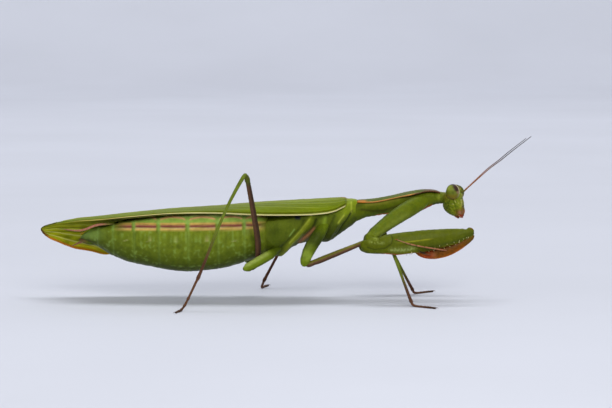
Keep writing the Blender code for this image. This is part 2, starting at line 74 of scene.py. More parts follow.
# Trunk sections along X: x, top, height of the widest line, bottom, half width.
ABDOMEN = (
    (-2.7, 14.0, 12.2, 8.20, 3.60),
    (-3.5, 14.55, 11.7, 7.30, 4.40),
    (-5.0, 14.85, 11.2, 6.95, 4.85),
    (-7.6, 14.95, 10.8, 6.20, 5.20),
    (-10.5, 14.9, 10.5, 5.40, 5.50),
    (-14.1, 14.75, 10.3, 5.00, 5.75),
    (-16.1, 14.65, 10.2, 4.85, 5.80),
    (-19.1, 14.4, 10.3, 5.10, 5.65),
    (-22.2, 14.0, 10.4, 5.70, 5.25),
    (-26.1, 13.35, 10.6, 6.50, 4.50),
    (-28.9, 12.70, 10.8, 7.60, 3.50),
    (-30.7, 12.30, 10.9, 8.75, 2.60),
    (-32.3, 11.80, 10.8, 9.50, 1.70),
    (-33.2, 11.20, 10.5, 9.90, 0.95),
    (-33.65, 10.85, 10.45, 10.10, 0.40),
    (-33.9, 10.55, 10.42, 10.30, 0.08),
)
# Hind edges of the abdomen's rings; how far its plain middle reaches to each side; and x and
# height of the fold between back and belly plates.
SEAMS = (-2.9, -6.8, -11.1, -16.0, -20.8, -24.9, -28.4, -31.0)
FLAT_BACK = 0.4
FOLD = ((-33.3, 11.3), (-29.6, 12.45), (-24.9, 12.62), (-19.7, 12.68), (-11.4, 12.75), (-2.7, 12.9))

THORAX = (
    (12.2, 16.40, 15.7, 13.90, 0.80),
    (11.6, 16.72, 15.5, 13.10, 1.50),
    (10.9, 16.85, 15.4, 12.45, 2.00),
    (9.7, 16.60, 15.0, 11.60, 2.60),
    (8.0, 16.10, 14.6, 10.40, 3.15),
    (6.8, 15.90, 14.5, 9.75, 3.45),
    (5.8, 15.75, 14.3, 9.75, 3.65),
    (4.0, 15.25, 14.0, 9.90, 3.90),
    (2.9, 15.10, 13.8, 9.60, 4.00),
    (2.0, 14.90, 13.6, 9.25, 4.05),
    (0.9, 14.80, 13.4, 8.80, 4.15),
    (-0.3, 14.70, 13.1, 7.95, 4.25),
    (-1.6, 14.55, 12.8, 7.40, 4.30),
    (-3.2, 14.35, 12.3, 7.50, 4.25),
    (-3.9, 14.25, 12.2, 7.80, 4.15),
)
# Pronotum: x, height of its keel, height of its rim, half width; and the under body beneath it.
PRONOTUM = (
    (11.5, 16.45, 16.30, 0.80),
    (11.9, 16.68, 16.40, 1.45),
    (12.8, 16.75, 16.38, 1.75),
    (14.5, 16.86, 16.40, 1.70),
    (16.2, 17.12, 16.68, 1.62),
    (17.5, 17.40, 16.98, 1.75),
    (18.7, 17.68, 17.28, 2.05),
    (20.1, 18.00, 17.56, 2.40),
    (21.4, 18.24, 17.84, 2.42),
    (22.6, 18.38, 18.12, 2.10),
    (23.8, 18.34, 18.22, 1.80),
    (24.8, 18.20, 18.12, 1.55),
    (25.4, 17.98, 17.92, 1.15),
)
UNDER_BODY = (
    (9.6, 15.6, 14.6, 12.50, 1.60),
    (11.0, 16.0, 15.2, 12.85, 1.62),
    (12.0, 16.5, 15.8, 13.25, 1.58),
    (13.1, 16.6, 15.95, 13.75, 1.56),
    (15.2, 16.75, 16.1, 14.10, 1.50),
    (17.3, 17.15, 16.5, 14.38, 1.52),
    (19.2, 17.6, 16.95, 14.50, 1.80),
    (21.0, 17.9, 17.0, 14.62, 1.98),
    (22.4, 18.1, 17.2, 14.95, 1.90),
    (23.6, 18.2, 17.3, 15.52, 1.62),
    (24.8, 18.05, 17.2, 15.95, 1.38),
    (25.8, 17.95, 17.1, 16.08, 1.20),
    (26.7, 17.85, 17.0, 16.15, 1.10),
)

# Head, in its own frame: z, rear, front, half width, from the crown down.
HEAD_PLACE = (27.75, 0.0, 18.05)
HEAD_YAW_DEG = -12.0
HEAD_ROLL_DEG = -6.0
HEAD = (
    (1.16, -0.15, 0.25, 0.45),
    (1.08, -0.50, 0.55, 1.10),
    (0.80, -0.90, 0.85, 1.65),
    (0.30, -1.20, 1.08, 2.10),
    (-0.50, -1.50, 1.25, 2.40),
    (-1.20, -1.70, 1.42, 2.38),
    (-1.90, -1.82, 1.55, 2.08),
    (-2.60, -1.76, 1.68, 1.70),
    (-3.20, -1.42, 1.72, 1.38),
    (-3.70, -0.80, 1.64, 1.08),
    (-4.00, -0.25, 1.40, 0.75),
)
EYE_PLACE = (0.16, 2.52, -0.13)
EYE_RADII = (1.12, 1.09, 1.26)
EYE_TILT_DEG = 12.0

# Simple eyes on the brow: x, y, z, radius; and pale streaks on the cheeks as x and z.
OCELLI = (
    (1.02, 0.0, 0.40, 0.14),
    (0.82, -0.27, 0.68, 0.12),
    (0.82, 0.27, 0.68, 0.12),
)
CHEEK_STREAKS = (
    ((0.42, -1.5), (0.58, -1.85)),
    ((1.32, -1.35), (1.42, -2.0), (1.28, -2.5)),
    ((0.95, -1.75), (1.08, -2.05)),
    ((0.05, -2.1), (0.22, -2.2)),
)

# Parts of the mouth, in the head's frame: x, y, z of the middle line, half depth, half thickness.
JAW = (
    (0.60, 0.72, -3.15, 0.40, 0.30),
    (0.95, 0.64, -3.65, 0.40, 0.30),
    (1.18, 0.42, -4.05, 0.30, 0.24),
    (1.28, 0.12, -4.28, 0.08, 0.08),
)
PALP = (
    (0.10, 0.86, -3.10, 0.10),
    (0.55, 1.00, -3.62, 0.11),
    (1.00, 0.92, -4.02, 0.10),
    (1.32, 0.70, -4.25, 0.09),
    (1.50, 0.48, -4.30, 0.04),
)
LOWER_PALP = (
    (0.0, 0.42, -3.60, 0.10),
    (0.32, 0.52, -4.00, 0.10),
    (0.70, 0.46, -4.28, 0.08),
    (0.90, 0.36, -4.36, 0.03),
)
LIP = (
    (0.05, 0.0, -3.60, 0.35, 0.60),
    (0.42, 0.0, -3.98, 0.30, 0.56),
    (0.78, 0.0, -4.30, 0.18, 0.40),
    (0.90, 0.0, -4.40, 0.05, 0.2),
)
LABRUM = (
    (1.38, 0.0, -3.35, 0.24, 0.54),
    (1.52, 0.0, -3.80, 0.20, 0.50),
    (1.44, 0.0, -4.15, 0.10, 0.32),
    (1.36, 0.0, -4.26, 0.03, 0.12),
)

# Feelers: x, y, z of the middle line, radius.
ANTENNA = (
    (28.75, 0.50, 17.95, 0.10),
    (29.00, 0.53, 18.03, 0.12),
    (29.25, 0.58, 18.12, 0.10),
    (29.42, 0.63, 18.22, 0.09),
    (29.65, 0.70, 18.45, 0.08),
    (31.42, 1.5, 20.12, 0.078),
    (33.38, 2.5, 21.98, 0.074),
    (35.22, 3.3, 23.45, 0.07),
    (36.9, 4.0, 24.9, 0.064),
    (39.97, 5.0, 27.4, 0.05),
)
# How much lower the left feeler ends.
ANTENNA_DROP = 0.85
# How far the head's turn carries the roots of both feelers sideways.
ANTENNA_ROOT_SHIFT = -0.22

# Wings: x, height of the inner edge, y of the inner edge, y of the front edge, fall to it.
TEGMEN = {
    "right": (
        (9.95, 16.95, -0.60, 2.3, 0.95),
        (9.7, 17.04, -0.50, 3.0, 1.30),
        (9.1, 17.08, -0.40, 3.6, 1.60),
        (8.2, 17.05, -0.45, 4.25, 1.95),
        (6.8, 16.95, -0.50, 5.0, 2.15),
        (4.2, 16.80, -0.50, 5.6, 2.22),
        (-0.3, 16.55, -0.50, 6.1, 2.02),
        (-4.8, 16.25, -0.50, 6.3, 1.65),
        (-12.0, 15.70, -0.50, 6.3, 0.80),
        (-19.0, 15.25, -0.50, 6.0, 0.45),
        (-26.0, 14.55, -0.50, 5.3, 0.35),
        (-30.7, 14.00, -0.40, 4.6, 0.32),
        (-34.2, 13.65, -0.20, 3.6, 0.28),
        (-36.6, 13.25, 0.15, 2.4, 0.20),
        (-37.9, 12.95, 0.50, 1.1, 0.05),
    ),
    "left": (
        (9.8, 16.85, 0.10, 2.3, 0.95),
        (9.55, 16.93, 0.05, 3.0, 1.30),
        (9.0, 16.97, 0.00, 3.6, 1.60),
        (8.2, 16.94, 0.00, 4.25, 1.95),
        (6.8, 16.84, 0.00, 5.0, 2.15),
        (4.2, 16.68, 0.00, 5.7, 2.20),
        (-0.3, 16.42, 0.00, 6.2, 2.25),
        (-4.8, 16.12, 0.00, 6.5, 2.40),
        (-12.0, 15.57, 0.00, 6.9, 3.30),
        (-19.0, 15.12, 0.00, 7.0, 4.70),
        (-25.0, 14.52, 0.00, 6.6, 6.20),
        (-29.9, 13.97, 0.00, 6.0, 6.95),
        (-32.9, 13.62, 0.00, 5.6, 6.00),
        (-35.3, 13.35, 0.20, 5.3, 5.30),
        (-37.0, 12.98, 0.90, 5.0, 4.30),
        (-38.25, 12.74, 1.50, 4.8, 3.50),
        (-39.4, 12.40, 2.20, 4.55, 2.65),
        (-40.2, 12.08, 2.80, 4.3, 1.75),
        (-40.6, 11.82, 3.10, 4.15, 1.05),
        (-40.85, 11.55, 3.35, 4.0, 0.40),
    ),
}
WING_POWERS = {"right": 2.4, "left": 2.2}
WING_THICKNESS = 0.10

# Tail: x, y, z of the middle line, then the radius, or half depth and half thickness.
VALVE = (
    (-31.2, 0.7, 9.7, 0.45, 0.55),
    (-32.6, 0.62, 9.75, 0.42, 0.42),
    (-33.6, 0.45, 9.95, 0.30, 0.28),
    (-34.2, 0.3, 10.15, 0.08, 0.08),
)
TAIL_PLATE = (
    (-30.8, 0, 12.1, 0.35, 1.6),
    (-32.2, 0, 11.8, 0.28, 1.35),
    (-33.4, 0, 11.3, 0.20, 0.9),
    (-34.0, 0, 11.0, 0.06, 0.3),
)
CERCI = {
    "right": (
        (-28.2, -2.3, 12.86, 0.12),
        (-29.2, -2.9, 12.92, 0.18),
        (-30.2, -3.4, 12.90, 0.20),
        (-31.4, -3.6, 12.68, 0.21),
        (-32.8, -3.7, 12.12, 0.19),
        (-34.2, -3.7, 11.88, 0.14),
        (-36.4, -3.6, 12.10, 0.05),
    ),
    "left": (
        (-31.6, 2.0, 10.3, 0.16),
        (-33.4, 2.8, 9.65, 0.18),
        (-34.6, 3.0, 9.2, 0.14),
        (-35.7, 3.1, 8.7, 0.05),
    ),
}

# Legs, drawn for the right side: x, y, z of the middle line, half depth, half thickness.
FORE_COXA = (
    (23.2, -1.00, 17.00, 0.60, 0.35),
    (22.7, -1.45, 16.75, 1.00, 0.58),
    (21.8, -2.10, 16.25, 1.26, 0.76),
    (20.5, -3.00, 15.60, 1.36, 0.86),
    (18.7, -4.05, 14.60, 1.32, 0.88),
    (16.9, -4.95, 13.40, 1.15, 0.80),
    (15.2, -5.90, 12.20, 1.00, 0.75),
    (14.4, -6.40, 11.55, 0.92, 0.72),
    (13.9, -6.70, 11.10, 0.75, 0.60),
)
TROCHANTER = (
    (14.6, -6.40, 12.00, 0.35, 0.30),
    (14.1, -6.62, 11.50, 0.72, 0.55),
    (13.8, -6.88, 10.90, 0.90, 0.70),
    (14.2, -7.15, 10.40, 0.90, 0.78),
    (15.4, -7.40, 10.22, 0.76, 0.76),
    (17.0, -7.50, 10.15, 0.30, 0.42),
)
FORE_FEMUR = (
    (12.20, -7.15, 9.85, 0.30, 0.30),
    (12.45, -7.20, 9.82, 0.72, 0.50),
    (13.1, -7.30, 9.74, 1.06, 0.68),
    (14.0, -7.40, 9.70, 1.22, 0.78),
    (15.2, -7.50, 9.72, 1.30, 0.82),
    (16.5, -7.50, 9.94, 1.56, 0.88),
    (18.5, -7.50, 10.03, 1.80, 0.92),
    (20.5, -7.40, 10.22, 1.82, 0.88),
    (22.6, -7.20, 10.46, 1.80, 0.80),
    (25.1, -6.90, 10.80, 1.56, 0.72),
    (27.5, -6.50, 11.15, 1.28, 0.64),
    (29.0, -6.32, 11.52, 0.92, 0.56),
    (29.8, -6.24, 11.72, 0.72, 0.50),
    (30.3, -6.20, 11.85, 0.62, 0.42),
    (30.65, -6.18, 11.85, 0.25, 0.20),
)
# The seam where the trochanter passes into the femur, as x and z.
ELBOW_SEAM = ((17.0, 11.9), (17.35, 10.9), (17.1, 10.1), (16.2, 9.45), (14.4, 9.15), (13.3, 9.5))
FORE_TIBIA = (
    (30.45, -6.18, 11.45, 0.22, 0.22),
    (30.30, -6.20, 11.15, 0.34, 0.30),
    (29.82, -6.20, 10.66, 0.46, 0.38),
    (28.89, -6.25, 10.06, 0.58, 0.44),
    (27.98, -6.32, 9.56, 0.70, 0.47),
    (26.60, -6.42, 8.94, 0.81, 0.48),
    (25.20, -6.52, 8.54, 0.84, 0.44),
    (23.83, -6.62, 8.34, 0.66, 0.38),
    (22.68, -6.70, 8.36, 0.40, 0.28),
    (21.9, -6.76, 8.62, 0.18, 0.16),
    (21.3, -6.82, 9.05, 0.04, 0.04),
)
TIBIA_HOOK = (
    (23.5, -7.15, 8.35, 0.24),
    (22.7, -7.95, 8.52, 0.17),
    (22.0, -8.38, 8.80, 0.11),
    (21.4, -8.50, 9.22, 0.03),
)
FORE_TARSUS = (
    (26.1, -7.00, 8.95, 0.10),
    (25.4, -7.50, 9.10, 0.115),
    (24.0, -8.10, 9.36, 0.10),
    (22.0, -8.50, 9.72, 0.095),
    (19.9, -8.65, 10.20, 0.09),
    (18.1, -8.55, 10.80, 0.07),
)
FORE_DROP = {"right": 0.0, "left": 1.42}

WALKING_LEGS = {
    "mid_coxa_right": (
        (7.0, -2.2, 13.3, 0.50),
        (6.3, -2.85, 12.6, 0.78),
        (5.65, -3.60, 11.7, 0.98),
        (5.0, -4.25, 10.7, 1.05),
        (4.3, -4.55, 9.5, 0.98),
        (3.65, -4.85, 8.3, 0.90),
        (3.22, -5.02, 7.2, 0.80),
        (3.02, -5.12, 6.55, 0.62),
        (2.95, -5.17, 6.12, 0.22),
    ),
    "mid_femur_right": (
        (3.25, -5.05, 6.45, 0.30),
        (3.8, -4.95, 6.45, 0.46),
        (4.6, -4.90, 6.75, 0.44),
        (5.6, -4.95, 7.12, 0.48),
        (8.0, -4.95, 8.10, 0.46),
        (11.8, -4.80, 9.65, 0.38),
        (15.5, -4.55, 11.15, 0.32),
        (16.2, -4.52, 11.45, 0.32),
        (16.5, -4.52, 11.55, 0.15),
    ),
    "mid_tibia_right": (
        (16.1, -4.55, 11.45, 0.22),
        (16.4, -4.72, 10.95, 0.30),
        (17.9, -6.35, 7.40, 0.25),
        (19.3, -7.95, 3.60, 0.23),
        (20.2, -8.90, 1.20, 0.25),
        (20.45, -9.20, 0.62, 0.22),
    ),
    "mid_tarsus_right": (
        (20.4, -9.10, 0.75, 0.16),
        (20.6, -9.35, 0.35, 0.21),
        (21.2, -9.95, 0.18, 0.18),
        (22.8, -11.40, 0.16, 0.16),
        (24.1, -12.55, 0.16, 0.15),
    ),
    "hind_coxa_right": (
        (-0.9, -2.1, 9.2, 0.40),
        (-1.6, -2.95, 8.62, 0.62),
        (-2.6, -3.95, 7.95, 0.77),
        (-3.9, -4.95, 7.26, 0.78),
        (-5.4, -5.90, 6.50, 0.75),
        (-6.3, -6.50, 6.05, 0.62),
        (-6.85, -6.85, 5.80, 0.25),
    ),
    "hind_femur_right": (
        (-6.3, -5.60, 5.95, 0.34),
        (-5.5, -4.60, 5.98, 0.48),
        (-4.85, -3.75, 6.50, 0.42),
        (-4.65, -3.58, 7.30, 0.42),
        (-4.55, -4.10, 8.30, 0.45),
        (-4.60, -6.20, 10.90, 0.48),
        (-5.3, -10.60, 16.20, 0.43),
        (-6.0, -14.30, 20.70, 0.37),
        (-6.25, -15.00, 21.55, 0.36),
        (-6.4, -15.15, 21.80, 0.20),
    ),
    "hind_tibia_right": (
        (-6.2, -15.05, 21.75, 0.22),
        (-6.75, -15.18, 21.35, 0.31),
        (-8.9, -15.20, 17.40, 0.25),
        (-11.0, -15.30, 12.65, 0.23),
        (-13.0, -15.45, 7.55, 0.23),
        (-13.9, -15.50, 5.40, 0.26),
        (-14.1, -15.52, 4.95, 0.20),
    ),
    "hind_tarsus_right": (
        (-14.0, -15.50, 5.20, 0.17),
        (-14.25, -15.55, 4.70, 0.20),
        (-15.1, -15.70, 2.90, 0.19),
        (-16.0, -15.95, 1.10, 0.19),
        (-16.6, -16.40, 0.32, 0.18),
        (-17.05, -17.30, 0.18, 0.17),
        (-17.35, -18.40, 0.16, 0.15),
    ),
    "mid_tibia_left": (
        (16.1, 4.55, 10.50, 0.22),
        (16.4, 4.72, 10.00, 0.30),
        (18.2, 6.10, 6.70, 0.25),
        (19.9, 7.40, 3.40, 0.23),
        (21.05, 8.28, 1.20, 0.25),
        (21.35, 8.60, 0.62, 0.22),
    ),
    "mid_tarsus_left": (
        (21.3, 8.50, 0.75, 0.16),
        (21.5, 8.75, 0.35, 0.21),
        (22.1, 9.40, 0.18, 0.18),
        (23.6, 10.90, 0.16, 0.16),
        (24.8, 12.15, 0.16, 0.15),
    ),
    "hind_femur_left": (
        (-6.3, 5.60, 5.95, 0.34),
        (-5.5, 4.60, 5.98, 0.48),
        (-4.85, 3.60, 6.50, 0.42),
        (-4.65, 3.50, 7.30, 0.42),
        (-4.40, 4.10, 8.30, 0.45),
        (-2.80, 7.40, 9.80, 0.48),
        (0.3, 14.00, 12.60, 0.43),
        (2.5, 19.10, 14.70, 0.37),
        (2.85, 19.80, 14.88, 0.36),
        (3.0, 20.05, 14.92, 0.20),
    ),
    "hind_tibia_left": (
        (3.1, 19.85, 14.65, 0.22),
        (2.95, 19.85, 14.20, 0.31),
        (1.3, 19.25, 11.10, 0.26),
        (-0.9, 18.50, 7.00, 0.24),
        (-2.9, 17.80, 3.30, 0.24),
        (-3.8, 17.48, 1.60, 0.26),
        (-4.0, 17.42, 1.15, 0.20),
    ),
    "hind_tarsus_left": (
        (-3.95, 17.40, 1.30, 0.17),
        (-4.12, 17.40, 0.85, 0.20),
        (-4.3, 17.60, 0.34, 0.19),
        (-4.2, 18.10, 0.20, 0.18),
        (-3.7, 20.00, 0.17, 0.17),
        (-3.25, 21.50, 0.16, 0.15),
    ),
}
LEFT_MID_DROP = 0.95


def srgb(red, green, blue):
    """A colour as a picture names it, 0 to 255, in the values that a shader takes."""
    values = np.array((red, green, blue)) / 255.0
    return np.where(values <= 0.04045, values / 12.92, ((values + 0.055) / 1.055) ** 2.4)


GREEN = srgb(106, 126, 20)
DEEP_GREEN = srgb(66, 82, 12)
FLANK_GREEN = srgb(98, 112, 24)
BRIGHT_GREEN = srgb(140, 158, 30)
SEAM_GREEN = srgb(140, 172, 84)
LIME = srgb(176, 184, 66)
PALE = srgb(226, 226, 190)
ORANGE = srgb(196, 118, 40)
RUST = srgb(148, 76, 30)
MAUVE = srgb(122, 60, 56)
PINK = srgb(202, 138, 122)
BROWN = srgb(100, 70, 48)
DARK = srgb(44, 32, 22)
INK = srgb(22, 24, 44)
WING_GREEN = srgb(98, 112, 4)


# Usual skin: size in mm and strength of its clouds and speckles, size and depth in mm of its grain,
# then roughness, clear coat and how much light passes below the surface.
USUAL_SKIN = {
    "cloud": 1.6,
    "cloudy": 0.22,
    "speckle": 0.28,
    "speckled": 0.03,
    "grain": 0.12,
    "depth": 0.03,
    "roughness": 0.48,
    "coat": 0.02,
    "depthlight": 0.12,
}


# Numbers along tables and over surfaces


def smooth(rows, count, straight=0):
    """Read a table at even steps along a Catmull-Rom curve through its rows.

    The first columns, as many as straight says, run in straight lines from row to row.
    """
    table = np.array(rows, dtype=float)
    last = len(table) - 1
    position = np.linspace(0, last, count)
    index = np.minimum(position.astype(int), last - 1)
    t = (position - index)[:, None]
    before = table[np.maximum(index - 1, 0)]
    start = table[index]
    end = table[index + 1]
    after = table[np.minimum(index + 2, last)]
    bend = (2 * before - 5 * start + 4 * end - after) * t**2
    twist = (3 * start - before - 3 * end + after) * t**3
    curve = 0.5 * (2 * start + (end - before) * t + bend + twist)
    line = start + (end - start) * t
    curve[:, :straight] = line[:, :straight]
    return curve


def at_stations(rows, stations):
    """The table's other columns at the given values of its first one."""
    dense = smooth(rows, 60 * len(rows), 1)
    dense = dense[np.argsort(dense[:, 0])]
    return [np.interp(stations, dense[:, 0], dense[:, column]) for column in range(1, dense.shape[1])]


def ramp(values, start, end):
    """0 at start and before it, 1 at end and past it, and smooth between; it may run either way."""
    t = np.clip((values - start) / (end - start), 0.0, 1.0)
    return t * t * (3 - 2 * t)


def window(values, start, full, fading, end):
    """0 up to start, 1 from full to fading and 0 again from end on."""
    return ramp(values, start, full) * ramp(values, end, fading)


def hump(values, centre, width):
    """1 at the centre, fading over the width to both sides."""
    return np.exp(-(((values - centre) / width) ** 2))


def spot(grid, place, radius):
    """1 at a place, fading over the radius around it."""
    return np.exp(-(np.linalg.norm(grid - np.array(place), axis=-1) / radius) ** 2)


def along_line(grid, places, width, axes=(0, 2)):
    """1 on a bent line, fading over the width to its sides; by default as seen from the side."""
    points = grid[..., list(axes)]
    best = np.full(points.shape[:-1], 1e9)
    for first, second in zip(places, places[1:]):
        first = np.array(first, dtype=float)
        step = np.array(second) - first
        share = np.clip(((points - first) @ step) / (step @ step), 0.0, 1.0)
        gap = np.linalg.norm(points - first - share[..., None] * step, axis=-1)
        best = np.minimum(best, gap)
    return np.exp(-((best / width) ** 2))


def ripple(grid, size, seed=0.0):
    """Soft uneven waves between -1 and 1, about size across."""
    x, y, z = (grid[..., axis] / size * 2 * PI for axis in range(3))
    total = np.sin(x + 1.7 * np.sin(0.61 * y + seed) + seed)
    total = total + np.sin(1.13 * y + 1.3 * np.sin(0.73 * z + 2 * seed))
    total = total + np.sin(0.91 * z + 1.9 * np.sin(0.57 * x + 3 * seed))
    return total / 3


def painted(tint, *layers):
    """Lay colours over a tint in turn; a layer is a colour and how strongly it covers each point."""
    for colour, amount in layers:
        amount = np.clip(amount, 0.0, 1.0)[..., None]
        tint = tint * (1 - amount) + colour * amount
    return tint


def patches(grid, size, seed, fine, fine_seed):
    """Uneven patches about size across, with finer ones on them."""
    return ripple(grid, size, seed) * 0.6 + ripple(grid, fine, fine_seed) * 0.5


def grid_normals(grid):
    """The outward direction at each point of a ring-by-ring grid."""
    down = np.gradient(grid, axis=0)
    around = np.roll(grid, -1, axis=1) - np.roll(grid, 1, axis=1)
    normal = np.cross(down, around)
    normal /= np.linalg.norm(normal, axis=-1, keepdims=True) + 1e-12
    outward = np.sum(normal * (grid - grid.mean(axis=1, keepdims=True)), axis=-1).sum()
    return normal if outward > 0 else -normal


def raised(grid, height):
    """Move a grid's points out along its own normals by a height in mm."""
    return grid + grid_normals(grid) * height[..., None]


# Making pieces


class Body:
    """One piece, gathered shell by shell in millimetres, with a colour at every point."""

    def __init__(self):
        self.points = []
        self.tints = []
        self.faces = []
        self.count = 0

    def add(self, grid, tint):
        """A closed shell from rings of points; its ends are drawn together."""
        rings, sides = grid.shape[:2]
        tint = np.broadcast_to(tint, grid.shape)
        corner = np.arange(rings * sides).reshape(rings, sides) + self.count
        following = np.roll(corner, -1, axis=1)
        quads = np.stack((corner[:-1], following[:-1], following[1:], corner[1:]), axis=-1)
        self.faces += quads.reshape(-1, 4).tolist()
        for ring, hub in ((0, rings * sides), (-1, rings * sides + 1)):
            hubs = np.full(sides, hub + self.count)
            self.faces += np.stack((corner[ring], following[ring], hubs), axis=-1).tolist()
        self.points += [grid.reshape(-1, 3), grid[:1].mean(axis=1), grid[-1:].mean(axis=1)]
        self.tints += [tint.reshape(-1, 3), tint[:1].mean(axis=1), tint[-1:].mean(axis=1)]
        self.count += rings * sides + 2
        return self

    def build(self, name, finish, slot, *nodes):
        """Make the piece, which stands for the given solids."""
        mesh = bpy.data.meshes.new(name)
        points = (np.concatenate(self.points) - CENTRE) * MM
        mesh.from_pydata(points.tolist(), [], self.faces)
        shell = bmesh.new()
        shell.from_mesh(mesh)
        bmesh.ops.recalc_face_normals(shell, faces=shell.faces)
        shell.to_mesh(mesh)
        shell.free()
        mesh.shade_smooth()
        tint = mesh.color_attributes.new("tint", "FLOAT_COLOR", "POINT")
        colours = np.concatenate(self.tints)
        colours = np.hstack((np.clip(colours, 0.0, 1.0), np.ones((len(colours), 1))))
        tint.data.foreach_set("color", colours.astype(np.float32).ravel())
        mesh.materials.append(finish)
        piece = bpy.data.objects.new(name, mesh)
        bpy.context.scene.collection.objects.link(piece)
        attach(piece, "root")
        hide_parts(*nodes)


def bent(values, power):
    """Each value to a power, with its own sign."""
    return np.sign(values) * np.abs(values) ** power


def trunk_grid(rows, count, sides, powers):
    """Rings across the body; the powers shape its right top, left top and lower quarters."""
    stations = np.linspace(rows[0][0], rows[-1][0], count)
    top, middle, bottom, half = (values[:, None] for values in at_stations(rows, stations))
    angle = np.linspace(0, 2 * PI, sides, endpoint=False)[None, :]
    cosine = np.cos(angle)
    sine = np.sin(angle)
    upper = np.where(cosine < 0, powers[0], powers[1])
    power = 2.0 / np.where(sine > 0, upper, powers[2])
    y = half * bent(cosine, power)
    height = np.where(sine > 0, top - middle, middle - bottom)
    z = middle + height * bent(sine, power)
    x = np.broadcast_to(stations[:, None], y.shape)
    return np.stack((x, y, z), axis=-1)


def sweep(rows, count, sides, hint=(0, 1, 0)):
    """Rings around a smooth line; the half depth lies square to the hint, the thickness along it."""
    table = smooth(rows, count)
    centre = table[:, :3]
    along = np.gradient(centre, axis=0)
    along /= np.linalg.norm(along, axis=1, keepdims=True)
    across = np.array(hint) - along * (along @ np.array(hint))[:, None]
    across /= np.linalg.norm(across, axis=1, keepdims=True)
    depth = np.cross(along, across)
    angle = np.linspace(0, 2 * PI, sides, endpoint=False)
    half_depth = np.maximum(table[:, 3], 0.01)[:, None]
    half_thickness = np.maximum(table[:, -1], 0.01)[:, None]
    offset = depth[:, None, :] * (half_depth * np.sin(angle))[..., None]
    offset = offset + across[:, None, :] * (half_thickness * np.cos(angle))[..., None]
    return centre[:, None, :] + offset


def sided(rows, side):
    """A left part's table for the given side."""
    return [(x, side * y, *widths) for x, y, *widths in rows]


def beads(share, count):
    """Waves between -1 and 1 along a line, as many as count says."""
    return np.sin(share * count * 2 * PI)


def shares(grid):
    """How far along, from 0 to 1, and at what angle round, each point of a sweep lies."""
    centre = grid.mean(axis=1)
    steps = np.linalg.norm(np.diff(centre, axis=0), axis=1)
    along = np.concatenate(([0.0], np.cumsum(steps)))
    along /= along[-1]
    angle = np.linspace(0, 2 * PI, grid.shape[1], endpoint=False)
    return np.broadcast_to(along[:, None], grid.shape[:2]), np.broadcast_to(angle, grid.shape[:2])


def spike(body, root, tip, radius, tint, bend=(0, 0, 0), sides=8):
    """A curved tapering spine or hair."""
    root = np.array(root, dtype=float)
    tip = np.array(tip, dtype=float)
    middle = (root + tip) / 2 + np.array(bend)
    widths = (radius, radius * 0.62, radius * 0.06)
    rows = [(*point, width, width) for point, width in zip((root, middle, tip), widths)]
    upright = abs(tip[2] - root[2]) > 0.7 * np.linalg.norm(tip - root)
    hint = (0.21, 0.97, 0.1) if upright else (0.13, 0.21, 0.97)
    grid = sweep(rows, 7, sides, hint)
    body.add(grid, tint)


def claws(body, toe, heading, size, tint):
    """The pair of hooks at the end of a foot."""
    toe = np.array(toe, dtype=float)
    heading = np.array(heading, dtype=float)
    heading /= np.linalg.norm(heading)
    sideways = np.cross(heading, (0, 0, 1))
    for side in (-1, 1):
        tip = toe + heading * size + sideways * side * size * 0.6
        tip[2] = max(tip[2] - 0.05, 0.03)
        spike(body, toe, tip, size * 0.16, tint, (0, 0, size * 0.18), 6)


def to_side(grid, side, drop=0.0):
    """The right side's grid for the given side, held lower by the drop."""
    return grid * np.array((1.0, -side, 1.0)) - np.array((0.0, 0.0, drop))


# Materials


class Finish:
    """A material in the making: its shader, and the nodes that feed it."""

    def __init__(self, name):
        self.material = bpy.data.materials.new(name)
        self.material.use_nodes = True
        self.tree = self.material.node_tree

    def feed(self, node, **values):
        """Give a node's sockets their values, or link them to other sockets."""
        for name, value in values.items():
            self.join(node.inputs[name.replace("_", " ")], value)
        return node

    def join(self, socket, value):
        if isinstance(value, bpy.types.NodeSocket):
            self.tree.links.new(value, socket)
        else:
            socket.default_value = value

    def node(self, kind, **values):
        return self.feed(self.tree.nodes.new("ShaderNode" + kind), **values)

    def texture(self, kind, scale, stretch=(1.0, 1.0, 1.0), **values):
        """A procedural texture laid on the piece itself; scale is in features for each metre."""
        mapping = self.node("Mapping", Vector=self.node("TexCoord").outputs["Object"], Scale=stretch)
        return self.node(kind, Vector=mapping.outputs["Vector"], Scale=scale, **values)

    def remap(self, socket, low, high, start, end):
        node = self.node("MapRange", Value=socket, From_Min=low, From_Max=high, To_Min=start, To_Max=end)
        return node.outputs["Result"]

    def mixed(self, mode, factor, first, second):
        """Blend two colours."""
        node = self.node("Mix")
        node.data_type = "RGBA"
        node.blend_type = mode
        colours = [socket for socket in node.inputs if socket.type == "RGBA"]
        for socket, value in zip((node.inputs[0], *colours), (factor, first, second)):
            self.join(socket, value)
        return [socket for socket in node.outputs if socket.type == "RGBA"][0]

    def clouded(self, colour, clouds, low, high):
        """The colour, made darker and lighter by clouds between two factors."""
        return self.mixed("MULTIPLY", 1.0, colour, self.remap(clouds.outputs[0], 0.3, 0.7, low, high))

    def tint(self):
        """The colour at each point of the piece."""
        node = self.node("Attribute")
        node.attribute_name = "tint"
        return node.outputs["Color"]

    def bump(self, height, distance, strength, **under):
        """Relief of the distance in mm, over another bump if there is one under it."""
        node = self.node("Bump", Height=height, Distance=distance * MM, Strength=strength, **under)
        return node.outputs["Normal"]

    def made(self, **values):
        """Feed the shader, and give back the finished material."""
        self.feed(self.tree.nodes["Principled BSDF"], **values)
        return self.material


